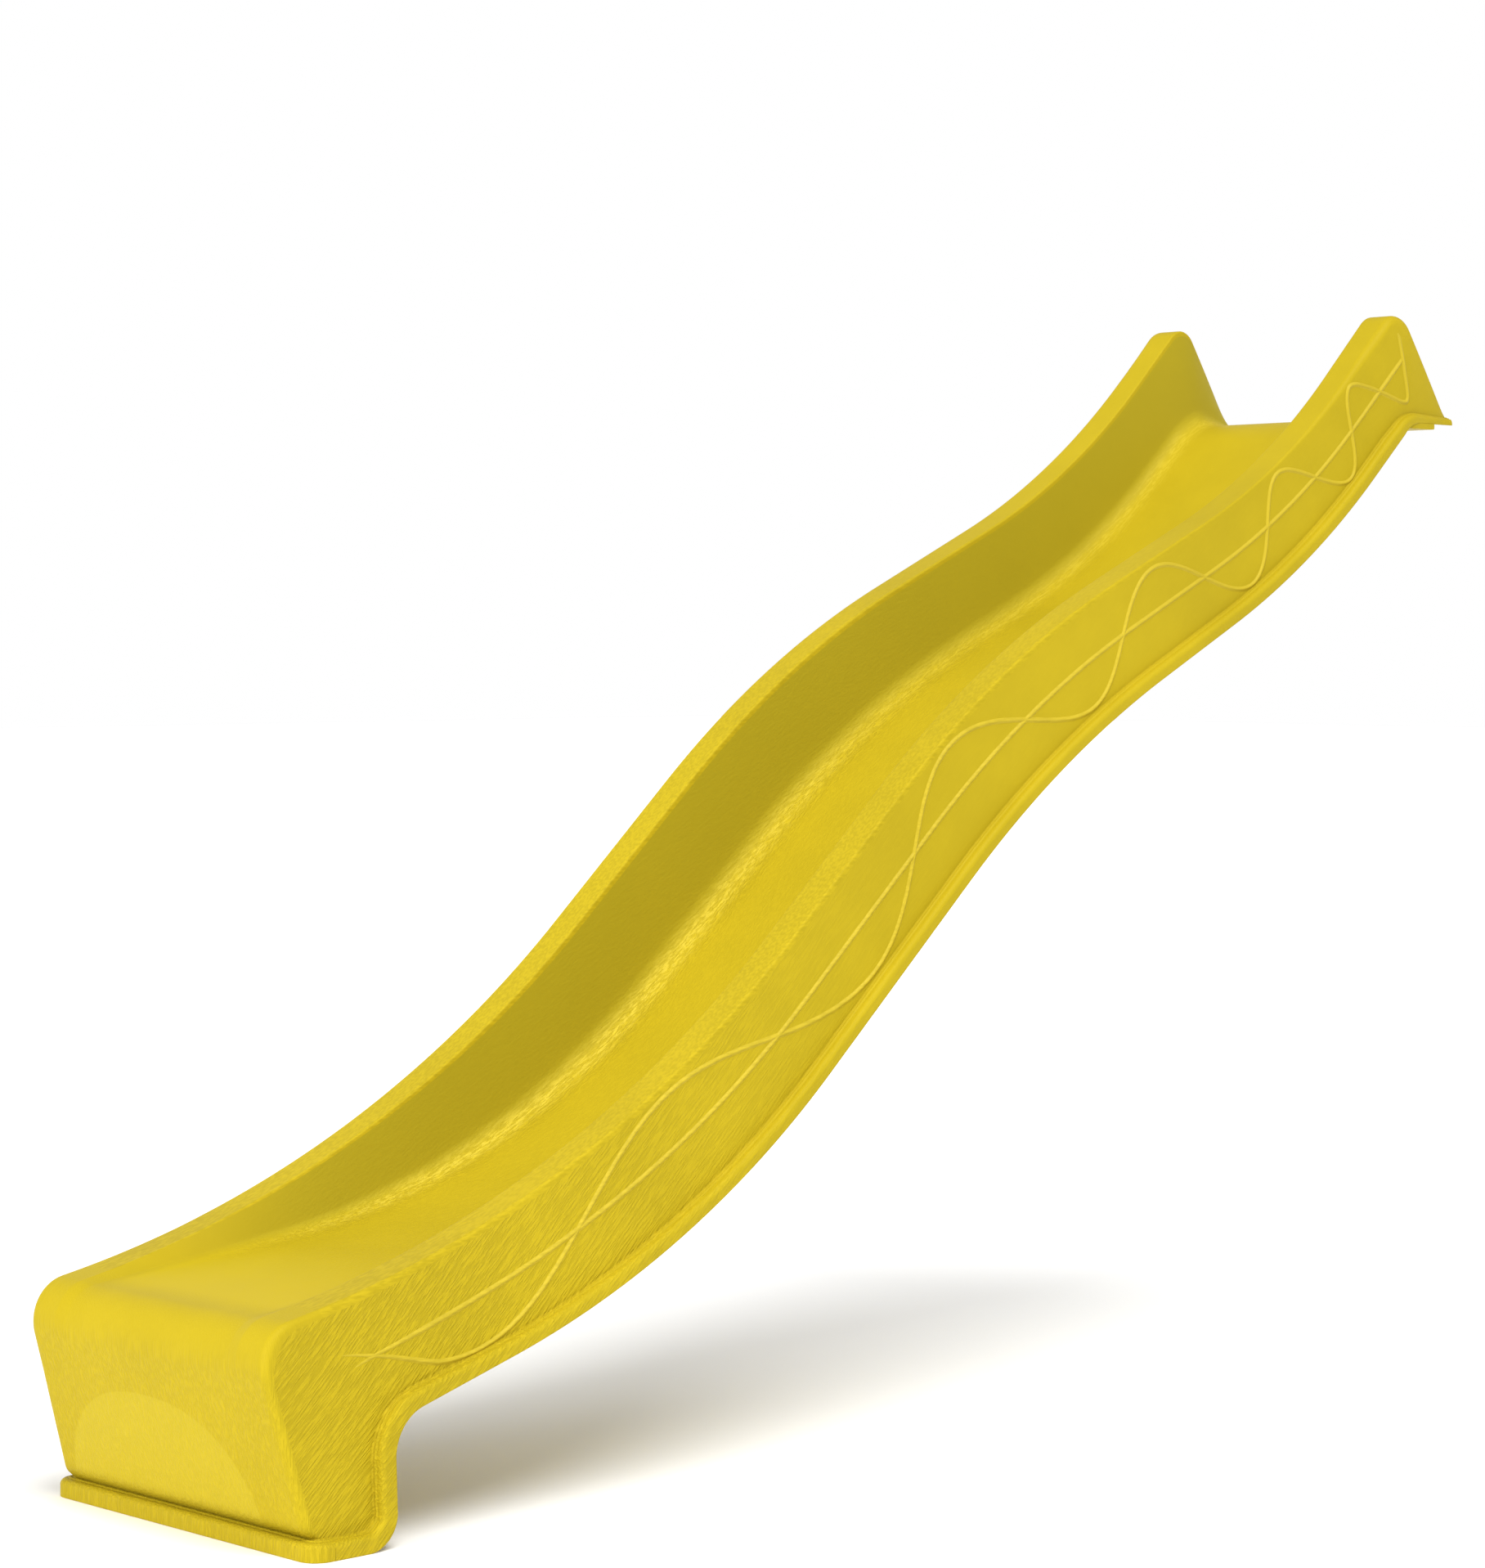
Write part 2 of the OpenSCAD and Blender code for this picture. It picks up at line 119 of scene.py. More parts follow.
class Graph:
    """A material's node tree, with one method that adds any node."""

    def __init__(self, name: str) -> None:
        """Make a material of that name with an empty tree."""
        self.material = bpy.data.materials.new(name)
        self.material.use_nodes = True
        self.tree = self.material.node_tree
        self.tree.nodes.clear()

    def node(self, kind: str, settings: dict[str, object], inputs: dict[object, object]) -> bpy.types.Node:
        """Add a node.

        Args:
            kind: the node's Blender type.
            settings: attributes to set before the sockets.
            inputs: socket name or index to a Value, a socket or a plain value.

        Returns:
            The new node.
        """
        node = self.tree.nodes.new(kind)
        for key, value in settings.items():
            setattr(node, key, value)
        for key, value in inputs.items():
            socket = value.socket if isinstance(value, Value) else value
            if isinstance(socket, bpy.types.NodeSocket):
                self.tree.links.new(socket, node.inputs[key])
            else:
                node.inputs[key].default_value = socket
        return node

    def place(self) -> Value:
        """The object's own coordinates."""
        return Value(self, self.node("ShaderNodeTexCoord", {}, {}).outputs["Object"])

    def part(self, vector: Value, axis: str) -> Value:
        """One component of a vector."""
        return Value(self, self.node("ShaderNodeSeparateXYZ", {}, {0: vector}).outputs[axis])

    def ramp(self, value: Value, low: float, high: float) -> Value:
        """A smooth step from 0 at low to 1 at high."""
        node = self.node(
            "ShaderNodeMapRange",
            {"interpolation_type": "SMOOTHSTEP"},
            {"Value": value, "From Min": low, "From Max": high},
        )
        return Value(self, node.outputs["Result"])

    def noise(self, vector: Value, scale: float, detail: float = 2.0, rough: float = 0.5) -> Value:
        """Fractal noise between 0 and 1."""
        inputs = {"Vector": vector, "Scale": scale, "Detail": detail, "Roughness": rough}
        node = self.node("ShaderNodeTexNoise", {}, inputs)
        return Value(self, node.outputs["Fac"])

    def power(self, value: Value, exponent: float) -> Value:
        """The size of a value, its sign dropped, raised to a power."""
        size = self.node("ShaderNodeMath", {"operation": "ABSOLUTE"}, {0: value})
        node = self.node("ShaderNodeMath", {"operation": "POWER"}, {0: size.outputs[0], 1: exponent})
        return Value(self, node.outputs[0])

    def blend(self, share: Value, first: object, second: object) -> Value:
        """A colour between two, each a socket or three numbers."""
        ends = [(*end, 1.0) if isinstance(end, tuple) else end for end in (first, second)]
        node = self.node("ShaderNodeMix", {"data_type": "RGBA"}, {0: share, 6: ends[0], 7: ends[1]})
        return Value(self, node.outputs[2])

    def mapped(self, vector: Value, name: str, numbers: tuple[float, float, float]) -> Value:
        """The vector through one Mapping node with one of its inputs set."""
        node = self.node("ShaderNodeMapping", {"vector_type": "POINT"}, {"Vector": vector, name: numbers})
        return Value(self, node.outputs[0])

    def stretched(
        self, vector: Value, turn: tuple[float, float, float], scale: tuple[float, float, float]
    ) -> Value:
        """The vector turned, then scaled on each axis."""
        return self.mapped(self.mapped(vector, "Rotation", turn), "Scale", scale)


# ---------------------------------------------------------------- finishes


@dataclass(frozen=True)
class Grain:
    """Fine brushed streaks in the mould's surface."""

    turn: tuple[float, float, float]  # rotation in radians that brings the streaks' direction onto X
    length: float  # a streak's length in metres
    width: float  # a streak's width in metres
    depth: float  # the streaks' depth in metres
    fade: tuple[float, float] = (1.0, 1.9)  # start and end of the fade along Y, in metres


@dataclass(frozen=True)
class MouldedPlastic:
    """Satin yellow polyethylene with a brushed grain and faint mottling."""

    name: str
    grain: Grain
    colour: Colour = (0.488, 0.364, 0.012)  # the paler of its two mottled yellows
    shade: Colour = (0.378, 0.283, 0.009)  # the deeper one; the painted shade along the streaks and at the upper end blends towards it
    painted_front_light: Colour = (0.575, 0.432, 0.008)  # a still paler yellow painted in at the exit: painted light
    painted_front_light_share: float = 0.55  # how much of that painted light shows there
    roughness: float = 0.47
    specular: float = 0.055  # level of the reflection
    orange_peel: float = 0.00012  # height of the finest bumps in metres
    streak_edge: tuple[float, float] = (0.34, 0.66)  # noise values between which a streak rises
    peel_scale: float = 900.0  # frequency of the finest bumps
    mottle_scale: float = 3.2  # frequency of the mottling
    painted_top_shade: tuple[float, float] = (0.2, 2.3)  # lengths along Y between which the colour is darkened: painted shade towards the upper end

    def material(self) -> bpy.types.Material:
        """Build the node material.

        Streaks are noise stretched along the grain, faded along the slide; they raise a bump and also
        lighten and darken the colour, painted light and shade on the grain. Mottling mixes two close
        yellows; the colour is darkened towards the upper end, painted shade; a finer orange peel gives
        the sheen its sparkle.

        Returns:
            The finished material.
        """
        graph = Graph(self.name)
        place = graph.place()
        grain = self.grain
        scale = (1 / grain.length, 1 / grain.width, 1 / grain.width)
        noise = graph.noise(graph.stretched(place, grain.turn, scale), 1.0, rough=0.55)
        streaks = graph.ramp(noise, *self.streak_edge)
        length = graph.part(place, "Y")
        strength = self.strength(graph, place) * (1.0 - 0.93 * graph.ramp(length, *grain.fade))
        peel = graph.noise(place, self.peel_scale)
        cloud = graph.noise(place, self.mottle_scale, 4.0, 0.6)
        # Random mottling, plus painted light and shade that follows the streaks.
        mottle_and_streak_light = 0.62 * cloud + 0.30 * (streaks - 0.5) * strength + 0.19
        # Painted shade: the colour is darkened towards the upper end.
        tone_with_painted_shade = graph.ramp(mottle_and_streak_light, 0.20, 0.80) - 0.42 * graph.ramp(length, *self.painted_top_shade) + 0.12
        height = streaks * strength * grain.depth + peel * self.orange_peel
        bump = graph.node("ShaderNodeBump", {}, {"Height": height, "Distance": 1.0, "Strength": 1.0})
        colour = self.marked(graph, place, streaks, graph.blend(tone_with_painted_shade, self.shade, self.colour))
        shader = graph.node(
            "ShaderNodeBsdfPrincipled",
            {},
            {
                "Base Color": colour,
                "Roughness": self.roughness + 0.10 * (cloud - 0.5),
                "Normal": bump.outputs[0],
                "IOR": 1.50,
                "Specular IOR Level": self.specular,
            },
        )
        graph.node("ShaderNodeOutputMaterial", {}, {"Surface": shader.outputs[0]})
        return graph.material

    def marked(self, graph: Graph, place: Value, streaks: Value, colour: Value) -> Value:
        """The colour with the piece's own marks; a plain piece has none."""
        return colour

    def strength(self, graph: Graph, place: Value) -> Value | float:
        """How strong the grain is over the piece; 1 all over a plain piece."""
        return 1.0


@dataclass(frozen=True)
class ChutePlastic(MouldedPlastic):
    """The chute's finish: faint grain on the bed, painted highlights as broken glints in the fillet,
    a deeper wall that is painted shade, and painted light at the exit.
    """

    # Half widths between which the grain grows towards the fillet.
    fillet: tuple[float, float] = (0.105, 0.150)
    # Lengths along Y where grain and the wall's painted shade come in behind the rolled exit.
    entry: tuple[float, float] = (0.08, 0.40)
    front: tuple[float, float] = (0.05, 0.50)  # lengths along Y between which the painted light at the front dies out
    painted_glint: tuple[float, float] = (0.128, 0.166)  # half widths between which the painted glints, a painted highlight, grow
    painted_glint_entry: tuple[float, float] = (0.14, 0.60)  # lengths along Y between which they come in
    painted_glint_exit: tuple[float, float] = (0.9, 1.6)  # lengths along Y between which they weaken
    painted_glint_edge: tuple[float, float] = (0.46, 0.60)  # noise values between which each streak of painted highlight rises
    # The painted glints' frequency along and across the slide.
    painted_glint_scale: tuple[float, float, float] = (34.0, 300.0, 300.0)
    # The colour of the painted highlight in the fillet.
    painted_glint_colour: Colour = (0.72, 0.57, 0.06)
    # A deeper yellow for the wall above the fillet: painted shade in the trough.
    painted_wall_shade: Colour = (0.330, 0.268, 0.014)

    def strength(self, graph: Graph, place: Value) -> Value:
        """0.3 on the bed, about 0.9 in the fillet, 0.1 on the wall, all coming in along Y."""
        out = graph.power(graph.part(place, "X"), 1.0)
        width = 0.30 + 0.60 * graph.ramp(out, *self.fillet) - 0.80 * graph.ramp(out, *WALL_BAND)
        return width * graph.ramp(graph.part(place, "Y"), *self.entry)

    def marked(self, graph: Graph, place: Value, streaks: Value, colour: Value) -> Value:
        """Add painted shade on the wall above the fillet, painted light at the front and painted glints."""
        length = graph.part(place, "Y")
        out = graph.power(graph.part(place, "X"), 1.0)
        wall = graph.ramp(out, *WALL_BAND)
        # Painted shade: the wall above the fillet, down in the trough, takes the deeper yellow.
        deeper = graph.blend(0.72 * wall * graph.ramp(length, *self.entry), colour, self.painted_wall_shade)
        # Painted light: a paler yellow on the bed at the exit.
        front = (1.0 - graph.ramp(length, *self.front)) * (1.0 - wall)
        paler = graph.blend(self.painted_front_light_share * front, deeper, self.painted_front_light)
        # Painted highlight: pale broken glints along the fillet, weakening further up the slide.
        fine = graph.noise(graph.stretched(place, self.grain.turn, self.painted_glint_scale), 1.0, 3.0, 0.6)
        painted_glint_reach = graph.ramp(length, *self.painted_glint_entry) * (1.0 - 0.65 * graph.ramp(length, *self.painted_glint_exit))
        painted_glint_band = graph.ramp(out, *self.painted_glint) * (1.0 - wall)
        painted_glint = painted_glint_band * painted_glint_reach * (0.22 + 0.78 * graph.ramp(fine, *self.painted_glint_edge))
        return graph.blend(0.74 * painted_glint, paler, self.painted_glint_colour)


@dataclass(frozen=True)
class PanelPlastic(MouldedPlastic):
    """The exit panel's finish: painted light on its face, a paler field that is a painted reflection,
    and painted shade in the crease above the foot skirt.
    """

    # The flat face's paler yellow: painted light where the face catches the front light.
    painted_face_light: Colour = (0.56, 0.425, 0.014)
    # A paler, whiter field on the lower panel: painted reflection.
    painted_reflection_colour: Colour = (0.56, 0.44, 0.028)
    field_centre: float = -0.027  # middle of the field's lower side along X
    field_half: float = 0.208  # the field's half width
    field_top: float = 0.176  # height of the field's top
    field_power: float = 2.3  # exponent that makes the field's outline squarer than an oval
    # The dark yellow in the concave crease above the foot skirt: painted shade.
    painted_crease_shade: Colour = (0.26, 0.19, 0.004)
    crease: tuple[float, float] = (0.027, 0.050)  # heights between which the crease's painted shade fades out
    # Heights between which the grain and the painted light on the flat face give way to the plain roll.
    roll: tuple[float, float] = (0.215, 0.262)
    # Lengths along Y between which the front's painted light, a paler colour, comes in on the roll.
    behind: tuple[float, float] = (-0.01, 0.05)

    def strength(self, graph: Graph, place: Value) -> Value:
        """1 on the flat face, 0.15 on the roll."""
        return 1.0 - 0.85 * graph.ramp(graph.part(place, "Z"), *self.roll)

    def marked(self, graph: Graph, place: Value, streaks: Value, colour: Value) -> Value:
        """Add the painted light on the face, the painted reflection and the crease's painted shade.

        The field, a painted reflection, is where |x / half|^power + |z / top|^power is under 1.
        The crease's painted shade is darkest at the skirt and ragged along the streaks.

        Args:
            graph: the material's nodes.
            place: the piece's coordinates.
            streaks: the streak pattern, 0 to 1.
            colour: the plain colour.

        Returns:
            The marked colour.
        """
        width, height = graph.part(place, "X"), graph.part(place, "Z")
        roll = graph.ramp(height, *self.roll)
        behind = graph.ramp(graph.part(place, "Y"), *self.behind) * roll
        inside = 1.0 - graph.ramp(graph.power(width, 1.0), *WALL_BAND)
        # Painted light: the front's paler yellow on the roll.
        plain = graph.blend(self.painted_front_light_share * behind * inside, colour, self.painted_front_light)
        # Painted light: the flat face is painted paler than the roll.
        face = graph.blend(0.30 - 0.30 * roll, plain, self.painted_face_light)
        # Painted reflection: a paler, whiter field on the lower panel.
        wide = graph.power((width - self.field_centre) * (1 / self.field_half), self.field_power)
        tall = graph.power(height * (1 / self.field_top), self.field_power)
        painted_reflection = graph.ramp(1.0 - (wide + tall), 0.0, 0.04)
        paler = graph.blend(0.45 * painted_reflection, face, self.painted_reflection_colour)
        # Painted shade in the concave crease above the foot skirt, ragged along the streaks.
        ragged = height + 0.014 * (0.5 - streaks)
        crease = 1.0 - graph.ramp(ragged, *self.crease)
        return graph.blend(0.48 * crease, paler, self.painted_crease_shade)


@dataclass(frozen=True)
class Finishes:
    """The slide's finishes, one for each direction of the grain."""

    panel: bpy.types.Material
    foot: bpy.types.Material
    wall: bpy.types.Material
    chute: bpy.types.Material
    rail: bpy.types.Material
    ridge: bpy.types.Material

    @classmethod
    def make(cls) -> "Finishes":
        """Build the materials: upright, slanting and lengthwise grain, smooth, and the raised lines' painted
        highlight.
        """
        across = -math.pi / 2
        upright = Grain((0.0, math.pi / 2, 0.0), 0.034, 0.0026, 0.0007)
        slanting = Grain((math.radians(-43), 0.0, across), 0.030, 0.0028, 0.0008, fade=(0.15, 1.25))
        lengthwise = Grain((math.radians(-30), 0.0, across), 0.014, 0.0036, 0.0013, fade=(1.3, 2.2))
        smooth = Grain((0.0, 0.0, across), 0.02, 0.004, 0.00003)
        # Paler yellows for the raised lines: painted highlight on the ridges.
        pale = {"colour": (0.530, 0.402, 0.022), "shade": (0.430, 0.325, 0.014)}
        return cls(
            panel=PanelPlastic("yellow_panel", upright).material(),
            foot=MouldedPlastic("yellow_upright_grain", upright).material(),
            wall=MouldedPlastic("yellow_slanting_grain", slanting).material(),
            chute=ChutePlastic("yellow_chute", lengthwise).material(),
            rail=MouldedPlastic("yellow_smooth", smooth, orange_peel=0.00003).material(),
            ridge=MouldedPlastic("yellow_raised_line", smooth, specular=0.15, **pale).material(),
        )


# ---------------------------------------------------------------- lines and grids


def unit(vectors: np.ndarray) -> np.ndarray:
    """Each vector along the last axis at length 1."""
    return vectors / np.maximum(np.linalg.norm(vectors, axis=-1, keepdims=True), 1e-12)


def lengths(line: np.ndarray) -> np.ndarray:
    """Length along a line of points, from its start to each point."""
    return np.concatenate([[0.0], np.cumsum(np.linalg.norm(np.diff(line, axis=0), axis=1))])


def at(line: np.ndarray, where: np.ndarray) -> np.ndarray:
    """Points of a line at given lengths along it."""
    own = lengths(line)
    return np.stack([np.interp(where, own, line[:, axis]) for axis in range(line.shape[1])], axis=1)


def left_of(vectors: np.ndarray) -> np.ndarray:
    """Each side-view vector turned a quarter to the left."""
    return np.stack([-vectors[..., 1], vectors[..., 0]], axis=-1)


def rounded(corners: tuple[Corner, ...], step: float = 0.5 * MM, arc_points: int = 90) -> np.ndarray:
    """A side-view line with its corners rounded.

    Args:
        corners: corners (y, z, radius) in millimetres, the first and the last without a radius.
        step: spacing of the returned points in metres.
        arc_points: points on each arc before the line is spaced out evenly.

    Returns:
        Evenly spaced points (y, z) in metres.
    """
    points = np.array([corner[:2] for corner in corners]) * MM
    pieces = [points[:1]]
    for number in range(1, len(corners) - 1):
        pieces.append(corner_arc(*points[number - 1 : number + 2], corners[number][2] * MM, arc_points))
    line = np.concatenate(pieces + [points[-1:]])
    count = int(lengths(line)[-1] / step)
    return at(line, np.linspace(0.0, lengths(line)[-1], count))


def nearest_index(line: np.ndarray, y: float, z: float) -> int:
    """Number of a line's point nearest to a given one."""
    return int(np.argmin(np.hypot(line[:, 0] - y, line[:, 1] - z)))


def nearest(line: np.ndarray, y: float, z: float) -> float:
    """Length along a line at its point nearest to a given one."""
    return float(lengths(line)[nearest_index(line, y, z)])


def across(line: np.ndarray, points: np.ndarray, directions: np.ndarray, reach: float) -> np.ndarray:
    """Where the normals at some points cross another line.

    Args:
        line: the line that is crossed.
        points: points of the first line.
        directions: unit directions of the first line at those points.
        reach: how far off a crossing may lie.

    Returns:
        Lengths along the crossed line.
    """
    offsets = line[None, :, :] - points[:, None, :]
    ahead = np.abs(np.einsum("ijk,ik->ij", offsets, directions))
    ahead[np.linalg.norm(offsets, axis=2) > reach] = 9.0
    return lengths(line)[np.argmin(ahead, axis=1)]


def smoothed(values: np.ndarray, window: int) -> np.ndarray:
    """A running mean that keeps both ends."""
    padded = np.pad(values, window, mode="reflect", reflect_type="odd")
    return np.convolve(padded, np.ones(2 * window + 1) / (2 * window + 1), mode="valid")


def grid_normals(points: np.ndarray) -> np.ndarray:
    """Unit normals of a grid: the cross product of its two central differences.

    A corner where the two run alike takes +X, so that its shell keeps a thickness.
    """
    tiny = np.array([1e-10, 0.0, 0.0])
    return unit(np.cross(np.gradient(points, axis=1), np.gradient(points, axis=0)) + tiny)


def mirrored(points: np.ndarray, side: Side) -> np.ndarray:
    """The grid on one side of the slide, with its columns turned round on the left side."""
    return points if side is Side.RIGHT else points[:, ::-1] * np.array([-1.0, 1.0, 1.0])


@dataclass
class Skin:
    """A closed shell on a grid: an outer sheet, its back sheet, and four rims between them."""

    name: str
    outer: np.ndarray
    inner: np.ndarray
    sharp: float = 38.0  # angle in degrees above which an edge stays sharp
    # Blocks of cells left open, as (first row, last row, first column, last column).
    holes: list[tuple[int, int, int, int]] = field(default_factory=list)

    def quads(self) -> np.ndarray:
        """Corner numbers of every face, wound to face outwards."""
        rows, columns = self.outer.shape[:2]
        front = np.arange(rows * columns).reshape(rows, columns)
        back = front + rows * columns

        def cells(a: np.ndarray, b: np.ndarray, c: np.ndarray, d: np.ndarray) -> np.ndarray:
            return np.stack([a, b, c, d], axis=-1)

        def rims(f: np.ndarray, b: np.ndarray) -> list[np.ndarray]:
            return [
                cells(f[:-1, 0], f[1:, 0], b[1:, 0], b[:-1, 0]),
                cells(f[1:, -1], f[:-1, -1], b[:-1, -1], b[1:, -1]),
                cells(f[0, 1:], f[0, :-1], b[0, :-1], b[0, 1:]),
                cells(f[-1, :-1], f[-1, 1:], b[-1, 1:], b[-1, :-1]),
            ]

        solid = np.ones((rows - 1, columns - 1), bool)
        walls = rims(front, back)
        for top, bottom, left, right in self.holes:
            solid[top:bottom, left:right] = False
            block = np.s_[top : bottom + 1, left : right + 1]
            walls += [wall[:, ::-1] for wall in rims(front[block], back[block])]
        faces = cells(front[:-1, :-1], front[:-1, 1:], front[1:, 1:], front[1:, :-1])
        backs = cells(back[:-1, :-1], back[1:, :-1], back[1:, 1:], back[:-1, 1:])
        return np.concatenate([faces[solid], backs[solid], *walls])

    def build(self, material: bpy.types.Material, replaces: tuple[str, ...]) -> bpy.types.Object:
        """Make the object.

        Args:
            material: its finish.
            replaces: CAD nodes that it stands for.

        Returns:
            The new object, riding on the slide's one body.
        """
        points = np.concatenate([self.outer.reshape(-1, 3), self.inner.reshape(-1, 3)])
        faces = self.quads()
        mesh = bpy.data.meshes.new(self.name)
        mesh.vertices.add(len(points))
        mesh.vertices.foreach_set("co", points.astype(np.float32).ravel())
        mesh.loops.add(faces.size)
        mesh.loops.foreach_set("vertex_index", faces.astype(np.int32).ravel())
        mesh.polygons.add(len(faces))
        mesh.polygons.foreach_set("loop_start", np.arange(0, faces.size, 4, dtype=np.int32))
        mesh.update(calc_edges=True)
        mesh.validate()
        mesh.shade_smooth()
        mesh.set_sharp_from_angle(angle=math.radians(self.sharp))
        mesh.materials.append(material)
        piece = bpy.data.objects.new(self.name, mesh)
        bpy.context.scene.collection.objects.link(piece)
        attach(piece, BODY)
        if replaces:
            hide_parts(*replaces)
        log.info("%s: %d faces", self.name, len(faces))
        return piece


def corner_arc(
    before: np.ndarray, corner: np.ndarray, after: np.ndarray, radius: float, count: int
) -> np.ndarray:
    """Points of the arc that rounds one corner.

    The arc starts radius / tan(half angle) before the corner and turns about a centre that lies
    radius / sin(half angle) away on the bisector.

    Args:
        before: a point on the leg before the corner.
        corner: the corner.
        after: a point on the leg after it.
        radius: the arc's radius.
        count: number of points.

    Returns:
        The arc's points, both ends included.
    """
    back, ahead = unit(before - corner), unit(after - corner)
    half = math.acos(float(np.clip(back @ ahead, -1, 1))) / 2
    centre = corner + unit(back + ahead) * radius / math.sin(half)
    start = corner + back * radius / math.tan(half) - centre
    first, second = corner - before, after - corner
    side = math.copysign(1.0, float(first[0] * second[1] - first[1] * second[0]))
    turn = side * np.linspace(0.0, math.pi - 2 * half, count)
    return centre + np.stack([start[0] * np.cos(turn) - start[1] * np.sin(turn),
                              start[0] * np.sin(turn) + start[1] * np.cos(turn)], axis=1)


def whole_width(right: np.ndarray) -> np.ndarray:
    """A grid that starts on the middle plane, joined to its mirror image."""
    return np.concatenate([mirrored(right, Side.LEFT)[:, :-1], right], axis=1)


# ---------------------------------------------------------------- the slide's shape


@dataclass
class SlideShape:
    """The slide's lines in the side view, its cross-section, and the stations that carry it."""

    # The bed from the panel's foot over the roll to the lip, in millimetres.
    bed_corners: tuple[Corner, ...] = (
        (19, 24, 0), (3, 38, 24), (-66, 288, 55), (689, 371, 1230), (1414, 1024, 1800),
        (1945, 1266, 1300), (2196, 1500, 120), (2320, 1500, 0),
    )
    # The hand rail's crown, in millimetres.
    rail_corners: tuple[Corner, ...] = (
        (19, 24, 0), (3, 38, 24), (-66, 288, 55), (492, 398, 1770), (1279, 1112, 1700),
        (1933, 1408, 1263), (2190, 1658, 40), (2222, 1661, 32), (2330, 1500, 0),
    )
    # The skirt's lower edge, in millimetres.
    edge_corners: tuple[Corner, ...] = (
        (35, 0, 0), (136, 0, 46), (131, 161, 62), (649, 317, 1500), (1370, 969, 1827),
        (1954, 1257, 1513), (2208, 1487, 60), (2320, 1487, 0),
    )
    front_rows: int = 96  # stations on the front panel and its roll
    main_rows: int = 400  # stations from the roll to the last bend
    top_rows: int = 84  # stations from the last bend to the lip's end
    wall: float = 4.5 * MM  # thickness of the skin
    rail_height: float = 153 * MM  # the hand rail's full height over the bed
    rail_in: float = 198 * MM  # half width between the rails
    half_span: float = 250 * MM  # half width over the rails
    wall_foot: float = 172 * MM  # half width at the inner wall's foot
    fillet: float = 35 * MM  # radius between the bed and the inner wall
    rail_edge: float = 4 * MM  # radius of the rail's inner edge
    top_soft: float = 11 * MM  # how much wider the rail's outer edge is rounded at the upper end
    top_flare: float = 8 * MM  # how far that edge leans out at the lip
    flare_from: float = 2.12  # where along Y it starts to lean out
    flare_run: float = 0.18  # length over which it reaches its full lean
    droop: float = 5.5 * MM  # how far the lip's end sinks below the platform line
    droop_from: float = 2.235  # where along Y the lip starts to sink
    droop_run: float = 0.085  # length over which it sinks that far
    roll_end: tuple[float, float] = (-0.0018, 0.2951)  # the end of the roll on the bed, in metres
    rail_roll_end: tuple[float, float] = (-0.008, 0.2985)
    bend: tuple[float, float] = (2.150, 1.457)  # the bed's last bend
    under_from: float = 0.20  # where along Y the bed's normal starts to cross the lower edge
    under_bend: tuple[float, float] = (0.15, 0.165)  # the lower edge's point under the exit's hollow
    reach: float = 0.25  # how far off a crossing may lie
    window: int = 8  # half width of the running mean over the crossings
    ease_run: float = 0.16  # length over which the rail's stations are eased in
    bed: np.ndarray = field(init=False)
    rail: np.ndarray = field(init=False)
    edge: np.ndarray = field(init=False)
    root: np.ndarray = field(init=False)
    down: np.ndarray = field(init=False)
    skirt_height: np.ndarray = field(init=False)

    def __post_init__(self) -> None:
        """Place the stations on each line.

        Front stations share out the bed's and the rail's own lengths evenly. Main stations lie
        where the bed's normal crosses the other lines, eased in from the front's spacing. Top
        stations share out what is left of each line.
        """
        self.root_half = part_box("right_outer_wall")[1].x
        self.skirt_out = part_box("right_skirt")[1].x - self.root_half
        self.rail_mid = (self.rail_in + self.half_span) / 2
        bed, rail, edge = rounded(self.bed_corners), rounded(self.rail_corners), rounded(self.edge_corners)
        bed_total, rail_total, edge_total = (float(lengths(line)[-1]) for line in (bed, rail, edge))
        roll_end, bend = nearest(bed, *self.roll_end), nearest(bed, *self.bend)
        rail_roll_end = nearest(rail, *self.rail_roll_end)
        front = np.linspace(0.0, 1.0, self.front_rows)
        main = np.linspace(roll_end, bend, self.main_rows)[1:]
        rest = np.linspace(0.0, 1.0, self.top_rows)[1:]
        where = np.concatenate([front * roll_end, main, bend + rest * (bed_total - bend)])
        self.bed = at(bed, where)
        main_points = at(bed, main)
        main_ways = unit(at(bed, main + 4 * MM) - at(bed, main - 4 * MM))
        on_rail = smoothed(across(rail, main_points, main_ways, self.reach), self.window)
        ease = np.clip(1 - (main - roll_end) / self.ease_run, 0, 1) ** 2
        on_rail = on_rail + (rail_roll_end - on_rail[0]) * ease
        rail_where = np.concatenate(
            [front * rail_roll_end, on_rail, on_rail[-1] + rest * (rail_total - on_rail[-1])]
        )
        self.rail = at(rail, rail_where)
        under = main_points[:, 0] > self.under_from
        cut = nearest_index(edge, *self.under_bend)
        on_edge = across(edge[cut:], main_points[under], main_ways[under], self.reach)
        on_edge = smoothed(on_edge, self.window) + float(lengths(edge)[cut])
        first = self.front_rows + int((~under).sum())
        foot = np.linspace(0.0, on_edge[0], first + 1)[:-1]
        edge_where = np.concatenate([foot, on_edge, on_edge[-1] + rest * (edge_total - on_edge[-1])])
        self.edge = at(edge, edge_where)
        after, before = np.minimum(edge_where + 2 * MM, edge_total), np.maximum(edge_where - 2 * MM, 0)
        edge_ways = unit(at(edge, after) - at(edge, before))
        edge_ways[0] = edge_ways[-1] = (1.0, 0.0)
        self.down = -left_of(edge_ways)
        self.skirt_height = np.interp(
            edge_where, [0, 0.20, 0.45, on_edge[-1], edge_total], np.array([24, 24, 19.5, 19.5, 10]) * MM
        )
        for line in (self.bed, self.rail):
            line[:, 1] -= self.sink(line[:, 0])
